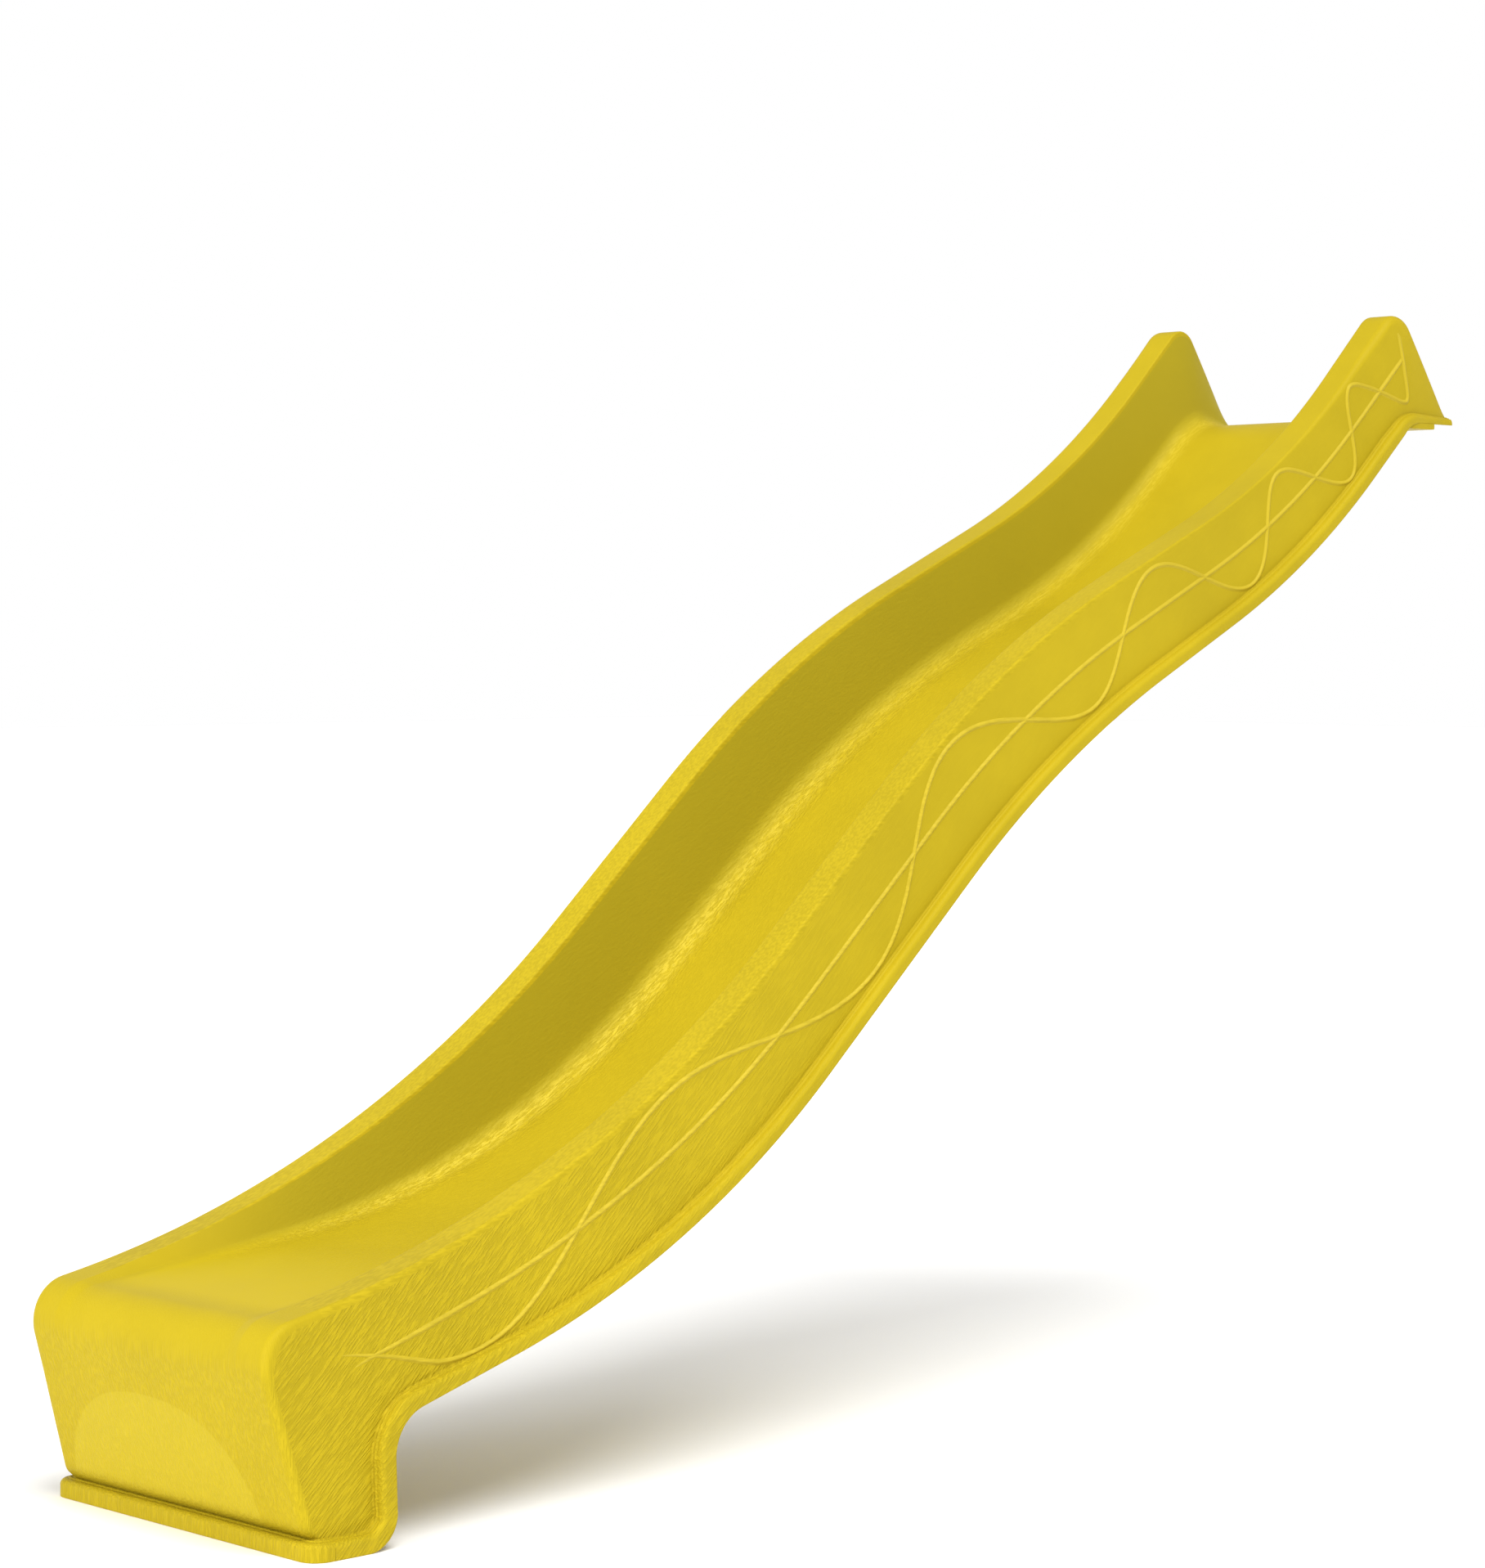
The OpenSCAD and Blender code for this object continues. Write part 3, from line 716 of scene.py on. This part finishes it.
        self.root = self.edge - self.down * self.skirt_height[:, None]
        self.rows = len(self.bed)
        self.top_share = np.clip((self.rail[:, 0] - self.flare_from) / self.flare_run, 0, 1)
        self.exit_row = self.front_rows + 6
        self.pad_row = int(np.argmax(self.bed[:, 0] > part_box("platform_lip")[0].y))

    def sink(self, y: np.ndarray) -> np.ndarray:
        """How far the lip has sunk at each length along Y: a parabola."""
        return self.droop * np.clip((y - self.droop_from) / self.droop_run, 0, None) ** 2

    def inner_profile(self) -> tuple[np.ndarray, np.ndarray, dict[str, int]]:
        """The section from the middle of the bed to the rail's crown.

        Returns:
            Widths, heights over the bed at full rail height, and the columns of its seams.
        """
        middle, foot = np.array([0.0, 0.0]), np.array([self.wall_foot, 0.0])
        head, crown = np.array([self.rail_in, self.rail_height]), np.array([self.rail_mid, self.rail_height])
        fillet = corner_arc(middle, foot, head, self.fillet, 20)
        edge = corner_arc(foot, head, crown, self.rail_edge, 9)
        seam = fillet[0] - np.array([4 * MM, 0.0])
        floor = np.linspace(middle, seam, 12)
        share = np.array([0.15, 0.3, 0.45, 0.6, 0.75, 0.88, 0.96])[:, None]
        wall = fillet[-1] + (edge[0] - fillet[-1]) * share
        top = np.linspace(edge[-1], crown, 6)[1:]
        points = np.concatenate([floor, fillet, wall, edge, top])
        seams = {"bed": len(floor) - 1, "wall": len(floor) + len(fillet) + len(wall) - 1}
        return points[:, 0], points[:, 1], seams

    def inner_grid(self) -> np.ndarray:
        """The inner section carried along the stations, its height scaled to the rail there."""
        width, height, _ = self.inner_profile()
        up = (self.rail - self.bed) / self.rail_height
        side = self.bed[:, None, :] + up[:, None, :] * height[None, :, None]
        across_bed = np.broadcast_to(width[None, :, None], (self.rows, len(width), 1))
        return np.concatenate([across_bed, side], axis=2)

    def edge_radius(self) -> np.ndarray:
        """Radius of the long outer edge: wide down the panel's corner, small along the rail."""
        row = np.arange(self.rows)
        knots = [0, 8, 26, 52, 76, 96, 130, 200]
        ease = np.clip((self.rail[:, 0] - 1.85) / 0.30, 0, 1) ** 2
        return np.interp(row, knots, np.array([14, 15, 16, 17, 14, 9, 5.5, 4]) * MM) + self.top_soft * ease

    def outer_grid(self) -> tuple[np.ndarray, int]:
        """The section from the rail's crown over its outer edge and down the wall to the root.

        The edge is an arc of radius r about (edge - leg, r) in width and depth, with
        leg = r / tan((90 deg + lean) / 2); the wall runs straight on from its end.

        Returns:
            The grid and the column of the seam just below the edge.
        """
        drop = np.linalg.norm(self.root - self.rail, axis=1)
        down = (self.root - self.rail) / drop[:, None]
        panel = np.clip(np.arange(self.rows) / (1.3 * self.front_rows), 0, 1)
        edge = self.root_half + (self.half_span - self.root_half) * panel + self.top_flare * self.top_share
        lean = np.arctan2(self.root_half - edge, drop)
        half = (np.pi / 2 + lean) / 2
        radius = np.minimum(self.edge_radius(), 0.96 * drop * np.tan(half))
        leg = radius / np.tan(half)
        turn = np.linspace(0, 1, 12)[None, :] * (np.pi / 2 - lean)[:, None]
        arc_x = (edge - leg)[:, None] + radius[:, None] * np.sin(turn)
        arc_d = radius[:, None] * (1 - np.cos(turn))
        share = np.concatenate([[0.03], np.linspace(0.08, 1, 24)])[None, :]
        wall_x = arc_x[:, -1:] + (self.root_half - arc_x[:, -1:]) * share
        wall_d = arc_d[:, -1:] + (drop[:, None] - arc_d[:, -1:]) * share
        start = np.full((self.rows, 1), self.rail_mid)
        width = np.concatenate([start, arc_x, wall_x], axis=1)
        depth = np.concatenate([0 * start, arc_d, wall_d], axis=1)
        side = self.rail[:, None, :] + down[:, None, :] * depth[..., None]
        return np.concatenate([width[..., None], side], axis=2), turn.shape[1] + 1

    def section(self) -> tuple[np.ndarray, dict[str, int]]:
        """The whole section from the middle of the bed to the skirt's root, with its seams."""
        inner, (outer, edge_seam) = self.inner_grid(), self.outer_grid()
        seams = self.inner_profile()[2]
        seams["edge"] = inner.shape[1] - 1 + edge_seam
        return np.concatenate([inner, outer[:, 1:]], axis=1), seams


# ---------------------------------------------------------------- sub-assemblies


@dataclass
class Chute:
    """Bed, exit panel, inner walls, hand rails, outer walls and lip: one skin cut at flat places."""

    shape: SlideShape
    hole_offset: float = 90 * MM  # distance of each screw hole from the middle
    hole_radius: float = 4.5 * MM
    brace_from: float = 2.192  # the near end of the bar under the lip along Y
    brace_to: float = 2.268  # its far end
    brace_half: float = 280 * MM
    brace_height: float = 9 * MM
    brace_round: float = 3 * MM  # radius of its lower edges
    hole_cells: int = 6  # grid cells across a hole
    block_share: float = 2.6  # half width of the block drawn in round a hole, over the hole's radius

    def build(self, finishes: Finishes) -> None:
        """Make the pieces and dress them.

        Args:
            finishes: the slide's finishes.
        """
        shape = self.shape
        outer, seams = shape.section()
        inner = outer - grid_normals(outer) * shape.wall
        exit_row, pad_row = shape.exit_row, shape.pad_row
        bed, wall, edge = seams["bed"], seams["wall"], seams["edge"]
        both = [whole_width(grid) for grid in (outer, inner)]
        middle = outer.shape[1] - 1
        panel = [grid[: exit_row + 1, middle - edge : middle + edge + 1] for grid in both]
        Skin("exit_panel_skin", *panel).build(finishes.panel, ("exit_panel",))
        floor = [grid[exit_row : pad_row + 1, middle - bed : middle + bed + 1] for grid in both]
        Skin("bed_skin", *floor).build(finishes.chute, ("sliding_bed",))
        self.lip(finishes)
        for side in Side:
            for label, first, last, row, finish in (
                ("inner_wall", bed, wall, exit_row, finishes.chute),
                ("hand_rail", wall, edge, exit_row, finishes.rail),
                ("outer_wall", edge, middle, 0, finishes.wall),
            ):
                grids = [mirrored(grid[row:, first : last + 1], side) for grid in (outer, inner)]
                node = f"{side.label}_{label}"
                Skin(f"{node}_skin", *grids).build(finish, (node,))

    def lip(self, finishes: Finishes) -> None:
        """Make the lip's pad with its screw holes.

        The pad is a grid in X and Y. Round each hole the grid's square block is drawn in to a
        circle: an offset of square size m and length r is scaled by m / r at the hole, easing
        to 1 at the block's rim.

        Args:
            finishes: the slide's finishes.
        """
        shape = self.shape
        low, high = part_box("platform_lip")
        half = float(shape.inner_profile()[0][shape.inner_profile()[2]["bed"]])
        cell = 2 * self.hole_radius / self.hole_cells
        hole_y = float(frame["record"]["mounts"][0]["pos_m"][1])
        behind = int((hole_y - low.y) / cell)
        ahead = int((high.y - hole_y) / cell)
        rows = hole_y + cell * np.arange(-behind + 1, ahead)
        y = np.concatenate([[shape.bed[shape.pad_row, 0]], rows, [high.y]])
        reach = int((half - self.hole_offset) / cell)
        near = self.hole_offset + cell * np.arange(-40, reach)
        x = np.concatenate([[-half], -near[::-1], near, [half]])
        grid_x, grid_y = np.meshgrid(x, y)
        holes = []
        for centre in (-self.hole_offset, self.hole_offset):
            dx, dy = grid_x - centre, grid_y - hole_y
            square, length = np.maximum(np.abs(dx), np.abs(dy)), np.hypot(dx, dy)
            block = self.block_share * self.hole_radius
            share = np.clip((block - square) / (block - self.hole_radius), 0, 1)
            factor = 1 + share * (square / np.maximum(length, 1e-9) - 1)
            row, column = int(np.argmin(np.abs(y - hole_y))), int(np.argmin(np.abs(x - centre)))
            wide = self.hole_cells // 2
            holes.append((row - wide, row + wide, column - wide, column + wide))
            grid_x, grid_y = centre + dx * factor, hole_y + dy * factor
        top = high.z - shape.sink(grid_y)
        outer = np.stack([grid_x, grid_y, top], axis=2)
        inner = np.stack([grid_x, grid_y, np.full_like(top, low.z)], axis=2)
        Skin("platform_lip_pad", outer, inner, holes=holes).build(finishes.chute, ("platform_lip",))
        self.brace(finishes)

    def brace(self, finishes: Finishes) -> None:
        """Make the bar under the lip: a flat top and an underside whose edges are quarter rounds.

        Args:
            finishes: the slide's finishes.
        """
        back, front = self.brace_from, self.brace_to
        rounding = self.brace_round * (1 - np.cos(np.linspace(0, np.pi / 2, 8)))
        y = np.concatenate([back + rounding, front - rounding[::-1]])
        reach = np.clip(self.brace_round - np.minimum(y - back, front - y), 0, None)
        lift = self.brace_round - np.sqrt(np.clip(self.brace_round**2 - reach**2, 0, None))
        x = np.linspace(-self.brace_half, self.brace_half, 3)
        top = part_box("platform_lip")[0].z + 0.2 * MM
        grid_x, grid_y = np.meshgrid(x, y)
        outer = np.stack([grid_x, grid_y, np.full_like(grid_x, top)], axis=2)
        bottom = np.broadcast_to((top - self.brace_height + lift)[:, None], grid_x.shape)
        inner = np.stack([grid_x, grid_y, np.minimum(bottom, top - 0.1 * MM)], axis=2)
        Skin("lip_brace", outer, inner).build(finishes.rail, ("lip_stiffener",))


def shoulder_arc(out: float, depth: float, radius: float, turn: np.ndarray) -> np.ndarray:
    """A quarter round that starts level at one depth and ends upright, that far out."""
    return np.stack([out - radius * (1 - np.sin(turn)), depth + radius * (1 - np.cos(turn))], 1)


@dataclass
class Skirts:
    """The stepped skirt: a small fillet at its root, a bead, a rounded shoulder and a face."""

    shape: SlideShape
    root_fillet: float = 3.0 * MM
    bead_width: float = 5.5 * MM
    bead_height: float = 1.7 * MM
    shoulder: float = 8.0 * MM
    rim: float = 1.2 * MM  # radius of the lower rim
    thickness: float = 0.8  # the skirt's thickness over the wall's
    foot_radius: float = 28 * MM  # the skirt's radius round the foot's corners
    lip_share: float = 0.45  # how much narrower the skirt gets at the lip
    lead_rows: int = 4  # stations on the short side that leads to each corner
    arc_rows: int = 32
    flat_rows: int = 38

    def profile(self, heights: np.ndarray) -> tuple[np.ndarray, np.ndarray]:
        """The skirt's outline and the outline of its back, for each station's height.

        From the root: a quarter circle up the wall, a bead that rises as
        (1 - cos) / 2, a quarter circle over the shoulder, a straight face and a small round.

        Args:
            heights: the skirt's height at each station.

        Returns:
            Two arrays (stations x columns x 2) of distance out from the root and depth below it.
        """
        out, thick = self.shape.skirt_out, self.shape.wall * self.thickness
        quarter = np.linspace(0, np.pi / 2, 7)
        fillet = self.root_fillet * np.stack([1 - np.cos(quarter), np.sin(quarter) - 1], 1)
        along = np.linspace(0, 1, 15)[1:]
        rise = self.bead_height * (0.5 - 0.5 * np.cos(2 * np.pi * along))
        bead = np.stack([self.root_fillet + along * self.bead_width, -rise], 1)
        turn = np.linspace(0, np.pi / 2, 14)
        flat = np.concatenate([fillet, bead])
        fixed = np.concatenate([flat, shoulder_arc(out, 0.0, self.shoulder, turn)])
        under = np.stack([flat[:, 0], np.full(len(flat), thick)], 1)
        fixed_back = np.concatenate([under, shoulder_arc(out - thick, thick, self.shoulder - thick, turn)])

        def strip(width: np.ndarray | float, depth: np.ndarray) -> np.ndarray:
            return np.stack([np.broadcast_to(width, depth.shape), depth], axis=2)

        level = np.zeros((len(heights), 1))
        end = heights[:, None] - self.rim
        face = self.shoulder + (end - self.shoulder) * np.linspace(0, 1, 6)[1:]
        small = np.linspace(0, np.pi / 2, 4)[1:]
        rim = strip(out - self.rim * (1 - np.cos(small)), end + self.rim * np.sin(small))
        rim_back = strip(out - thick, heights[:, None] - np.linspace(self.rim * 0.6, 0, len(small)))
        return (np.concatenate([strip(fixed[:, 0], level + fixed[:, 1]), strip(out, face), rim], 1),
                np.concatenate([strip(fixed_back[:, 0], level + fixed_back[:, 1]),
                                strip(out - thick, face), rim_back], 1))

    def build(self, finishes: Finishes) -> None:
        """Make the side skirts and the foot skirt.

        Args:
            finishes: the slide's finishes.
        """
        shape = self.shape
        grids = []
        for outline in self.profile(shape.skirt_height):
            side = shape.root[:, None, :] + shape.down[:, None, :] * outline[..., 1:]
            out = outline[..., :1] * (1 - self.lip_share * shape.top_share[:, None, None])
            grids.append(np.concatenate([shape.root_half + out, side], axis=2))
        for side in Side:
            skin = Skin(f"{side.label}_skirt_skin", *[mirrored(grid, side) for grid in grids])
            skin.build(finishes.wall, (f"{side.label}_skirt",))
        Skin("foot_skirt_skin", *self.foot()).build(finishes.foot, ("foot_skirt",))

    def foot(self) -> list[np.ndarray]:
        """The profile carried round the foot: a short side, a corner arc, the front, and back again."""
        shape = self.shape
        centre_x = shape.root_half + shape.skirt_out - self.foot_radius
        turn = np.linspace(0, np.pi / 2, self.arc_rows)
        start = float(shape.root[0, 0]) + 0.4 * MM
        lead = np.linspace(start, self.foot_radius, self.lead_rows + 1)[:-1]
        end_rows = self.lead_rows + self.arc_rows
        angles = np.concatenate([np.full(self.lead_rows, np.pi), np.pi + turn,
                                 np.full(self.flat_rows, 1.5 * np.pi), 1.5 * np.pi + turn,
                                 np.full(self.lead_rows, 2 * np.pi)])
        centres = np.concatenate([np.full(end_rows, -centre_x),
                                  np.linspace(-centre_x, centre_x, self.flat_rows + 2)[1:-1],
                                  np.full(end_rows, centre_x)])
        depths = np.full(len(angles), self.foot_radius)
        depths[: self.lead_rows], depths[-self.lead_rows :] = lead, lead[::-1]
        ways = np.stack([np.cos(angles), np.sin(angles)], 1)
        root = self.foot_radius - shape.skirt_out
        height = float(shape.skirt_height[0])
        grids = []
        for outline in self.profile(np.full(len(angles), height)):
            reach = root + outline[..., 0]
            x = centres[:, None] + ways[:, None, 0] * reach
            y = depths[:, None] + ways[:, None, 1] * reach
            grids.append(np.stack([x, y, height - outline[..., 1]], axis=2))
        return grids


@dataclass
class WallRelief:
    """The raised middle line and wave on each outer wall."""

    shape: SlideShape
    width: float = 9.5 * MM  # width of a raised line
    height: float = 2.3 * MM  # its height
    middle: float = 0.46  # share of the way from the rail to the skirt's edge where the middle line runs
    swing: float = 0.375  # the wave's amplitude as a share of that distance
    first_extra: float = 0.03  # how much wider the wave swings where it starts
    start_drop: float = 0.042  # how much lower both lines start, as a share of that distance
    first_half: float = 365 * MM  # length of the first half wave
    long_half: float = 433 * MM  # length of the second half wave
    shrink: float = 0.83  # each later half wave's length over the one before
    start: float = 113 * MM  # where the waves are counted from along Y
    straight_from: float = 2.12  # where along Y the lines stop following the rail and run straight on
    last_turn: float = math.radians(30)  # how far the last wave turns upright under the crest
    turn_from: float = 9.9  # the phase where it starts to turn
    phases: tuple[float, float] = (-0.42, 11.22)  # the wave's first and last phase, counted in half waves
    line_phases: tuple[float, float] = (-0.26, 11.02)  # the phases where the middle line starts and ends
    wave_rows: int = 1500
    line_rows: int = 700

    def crossings(self, phase: np.ndarray) -> np.ndarray:
        """Length along the middle line at each phase, one unit of phase per half wave.

        Half wave n is long_half * shrink ** (n - 1) long, which sums to a geometric series; a
        cubic through the crossings makes the change of pace smooth.
        """
        knots = np.arange(-2, 15)
        series = self.first_half + self.long_half * (1 - self.shrink ** (knots - 1.0)) / (1 - self.shrink)
        values = np.where(knots < 1, self.first_half * knots, series)
        slopes = np.gradient(values)
        cell = np.clip(np.floor(phase).astype(int) + 2, 0, len(knots) - 2)
        t = phase - knots[cell]
        return (values[cell] * (2 * t**3 - 3 * t**2 + 1) + slopes[cell] * (t**3 - 2 * t**2 + t)
                + values[cell + 1] * (3 * t**2 - 2 * t**3) + slopes[cell + 1] * (t**3 - t**2))

    def straightened(self, line: np.ndarray) -> np.ndarray:
        """A side line carried straight on from the last rise, past the crest and the lip."""
        last = int(np.argmax(line[:, 0] > self.straight_from))
        steps = np.arange(len(line) - last)[:, None]
        return np.concatenate([line[:last], line[last] + steps * (line[last] - line[last - 1])])

    def path(self, where: np.ndarray, share: np.ndarray, turn: np.ndarray | float = 0.0) -> np.ndarray:
        """Side-view points of a raised line.

        Args:
            where: lengths along the middle line, counted from the start.
            share: share of the way from the rail's crown to the skirt's edge.
            turn: angles that turn that way clockwise.

        Returns:
            Points (y, z).
        """
        rail, edge = self.straightened(self.shape.rail), self.straightened(self.shape.edge)
        line = rail + (edge - rail) * self.middle
        own = lengths(line)
        own = own - np.interp(self.start, line[100:, 0], own[100:])
        middle, reach = (
            np.stack([np.interp(where, own, grid[:, k]) for k in (0, 1)], 1) for grid in (line, edge - rail)
        )
        cos, sin = np.cos(turn), np.sin(turn)
        turned = np.stack([cos * reach[:, 0] + sin * reach[:, 1], cos * reach[:, 1] - sin * reach[:, 0]], 1)
        return middle + turned * (share - self.middle)[:, None]

    def lower(self, where: np.ndarray) -> np.ndarray:
        """How much lower both lines start, dying out over the first stretch."""
        return self.start_drop * np.clip(1 - where / self.first_half, 0, 1.4)

    def on_wall(self, side: np.ndarray) -> tuple[np.ndarray, np.ndarray]:
        """Points and outward normals of the right outer wall at some side-view places.

        The wall is ruled: each station's straight line runs from the rail to the root. The cross
        product of a ruling with the way to the place changes sign at the ruling through it.

        Args:
            side: places (y, z).

        Returns:
            Points and unit normals.
        """
        shape = self.shape
        ruling = shape.root - shape.rail
        offset = side[:, None, :] - shape.rail[None]
        turn = ruling[None, :, 0] * offset[..., 1] - ruling[None, :, 1] * offset[..., 0]
        near = np.linalg.norm(offset - 0.5 * ruling[None], axis=2)
        crosses = (turn[:, :-1] * turn[:, 1:] <= 0) & (near[:, :-1] < 0.2)
        first = np.argmin(np.where(crosses, near[:, :-1], 9.0), axis=1)
        each = np.arange(len(side))
        before, after = turn[each, first], turn[each, first + 1]
        row = first + before / np.where(before == after, 1.0, before - after)
        rail, root = (
            np.stack([np.interp(row, np.arange(shape.rows), line[:, k]) for k in (0, 1)], 1)
            for line in (shape.rail, shape.root)
        )
        drop = np.linalg.norm(root - rail, axis=1)
        edge = shape.half_span + shape.top_flare * np.interp(row, np.arange(shape.rows), shape.top_share)
        lean = (shape.root_half - edge) / drop
        x = edge + lean * np.linalg.norm(side - rail, axis=1)
        down = (root - rail) / drop[:, None]
        normals = unit(np.stack([np.ones_like(lean), -lean * down[:, 0], -lean * down[:, 1]], 1))
        return np.concatenate([x[:, None], side], 1), normals

    def ridge(self, path: np.ndarray, strength: np.ndarray) -> tuple[np.ndarray, np.ndarray]:
        """A raised line: a bell (1 + cos) / 2 across the path, over a flat base sunk in the wall.

        Args:
            path: side-view points of the line.
            strength: share of the full height at each point.

        Returns:
            The outer grid and the base grid.
        """
        points, normals = self.on_wall(path)
        ways = unit(np.gradient(points, axis=0))
        sideways = unit(np.cross(ways, normals))
        turn = np.linspace(-1, 1, 17)
        bell = 0.5 + 0.5 * np.cos(np.pi * turn)
        sunk = 0.15 * MM
        across_line = sideways[:, None, :] * (turn * self.width / 2)[None, :, None]
        lift = strength[:, None] * bell[None, :] * self.height - sunk
        outer = points[:, None, :] + across_line + normals[:, None, :] * lift[..., None]
        base = points[:, None, :] + across_line - normals[:, None, :] * (0.9 * MM)
        return outer, base

    def build(self, finishes: Finishes) -> None:
        """Make the two lines on each side.

        Args:
            finishes: the slide's finishes.
        """
        first, last = self.phases
        phase = np.linspace(first, last, self.wave_rows)
        swing = self.swing + self.first_extra * np.clip(0.5 - phase, 0, 1)
        share = self.middle + swing * np.sin(np.pi * phase)
        fade = np.clip((phase - first) / 0.36, 0.02, 1) * np.clip((last - phase) / 0.25, 0.05, 1)
        turn = self.last_turn * np.clip(phase - self.turn_from, 0, 1)
        where = self.crossings(phase)
        wave = self.ridge(self.path(where, share + self.lower(where), turn), fade)
        start, end = self.crossings(np.array(self.line_phases))
        where = np.linspace(start, end, self.line_rows)
        fade = np.clip((where - start) / 0.09, 0.02, 1) * np.clip((end - where) / 0.012, 0.05, 1)
        straight = self.ridge(self.path(where, self.middle + self.lower(where)), fade)
        for side in Side:
            for label, grids, nodes in (
                ("wave_line", wave, (f"{side.label}_wave_line",)),
                ("middle_line", straight, ()),
            ):
                both = [mirrored(grid, side) for grid in grids]
                Skin(f"{side.label}_{label}_ridge", *both, sharp=50.0).build(finishes.ridge, nodes)


# ---------------------------------------------------------------- studio


@dataclass
class Studio:
    """Camera, floor and soft light."""

    azimuth: float = 46.509
    elevation: float = 2.036
    location: tuple[float, float, float] = (4.2185, -3.0018, 1.1389)
    lens: float = 97.52
    sensor: float = 36.0
    overhead: float = 0.45  # the surround's strength overhead; near the horizon it is 1
    # Heights of the view direction between which the surround dims.
    dimming: tuple[float, float] = (0.22, 0.60)
    reach: float = 40.0  # half width of the floor
    # Each lamp's name, direction, strength and spread in degrees.
    lamps: tuple[tuple[str, tuple[float, float, float], float, float], ...] = (
        ("front_light", (0.15, -0.95, 0.30), 2.0, 50.0),
        ("upper_light", (0.45, -0.15, 0.87), 2.4, 34.0),
    )

    def camera(self) -> None:
        """Place the camera; its axes follow from azimuth and elevation."""
        data = bpy.data.cameras.new("view")
        data.sensor_fit, data.sensor_width, data.lens = "HORIZONTAL", self.sensor, self.lens
        data.clip_start, data.clip_end = 0.05, 100.0
        turn, tilt = math.radians(self.azimuth), math.radians(self.elevation)
        back = Vector((math.sin(turn) * math.cos(tilt), -math.cos(turn) * math.cos(tilt), math.sin(tilt)))
        right = Vector((math.cos(turn), math.sin(turn), 0.0))
        up = back.cross(right)
        axes = Matrix((right, up, back)).transposed().to_4x4()
        camera = bpy.data.objects.new("view", data)
        camera.matrix_world = Matrix.Translation(self.location) @ axes
        bpy.context.scene.collection.objects.link(camera)
        bpy.context.scene.camera = camera

    def floor(self) -> None:
        """A large pale floor under the slide."""
        graph = Graph("pale_floor")
        shader = graph.node(
            "ShaderNodeBsdfPrincipled", {}, {"Base Color": (1.0, 1.0, 1.0, 1.0), "Roughness": 0.9}
        )
        graph.node("ShaderNodeOutputMaterial", {}, {"Surface": shader.outputs[0]})
        mesh = bpy.data.meshes.new("floor")
        corners = [(x * self.reach, y * self.reach, 0) for x, y in ((-1, -1), (1, -1), (1, 1), (-1, 1))]
        mesh.from_pydata(corners, [], [(0, 1, 2, 3)])
        mesh.materials.append(graph.material)
        floor = bpy.data.objects.new("floor", mesh)
        bpy.context.scene.collection.objects.link(floor)

    def lights(self) -> None:
        """A pale surround, dimmer overhead, with a large soft lamp ahead of the exit and one above."""
        scene = bpy.context.scene
        world = bpy.data.worlds.new("surround")
        world.use_nodes = True
        tree = world.node_tree
        direction = tree.nodes.new("ShaderNodeTexCoord").outputs["Generated"]
        height = tree.nodes.new("ShaderNodeSeparateXYZ")
        tree.links.new(direction, height.inputs[0])
        dimmer = tree.nodes.new("ShaderNodeMapRange")
        tree.links.new(height.outputs["Z"], dimmer.inputs["Value"])
        names = ("From Min", "From Max", "To Min", "To Max")
        for name, number in zip(names, (*self.dimming, 1.0, self.overhead)):
            dimmer.inputs[name].default_value = number
        tree.links.new(dimmer.outputs["Result"], tree.nodes["Background"].inputs["Strength"])
        tree.nodes["Background"].inputs["Color"].default_value = (1.0, 1.0, 1.0, 1.0)
        scene.world = world
        for name, direction, strength, spread in self.lamps:
            data = bpy.data.lights.new(name, "SUN")
            data.energy, data.angle = strength, math.radians(spread)
            lamp = bpy.data.objects.new(name, data)
            lamp.rotation_euler = Vector(direction).to_track_quat("Z", "Y").to_euler()
            scene.collection.objects.link(lamp)
        scene.view_settings.view_transform = "Standard"

    def build(self) -> None:
        """Set up the whole studio."""
        self.camera()
        self.floor()
        self.lights()


def dress_frame(finishes: Finishes) -> None:
    """Give the CAD nodes that stay in view the slide's own finish.

    Args:
        finishes: the slide's finishes.
    """
    for name in ("bed_ribs", "right_wall_webs", "left_wall_webs"):
        node = frame["nodes"][name]
        node.data.materials.clear()
        node.data.materials.append(finishes.rail)


def main() -> None:
    """Build the slide's looks in order."""
    logging.basicConfig(level=logging.INFO, format="%(name)s: %(message)s")
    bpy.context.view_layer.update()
    Studio().build()
    finishes = Finishes.make()
    shape = SlideShape()
    dress_frame(finishes)
    Chute(shape).build(finishes)
    Skirts(shape).build(finishes)
    WallRelief(shape).build(finishes)
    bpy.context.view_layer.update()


if __name__ == "__main__":
    main()
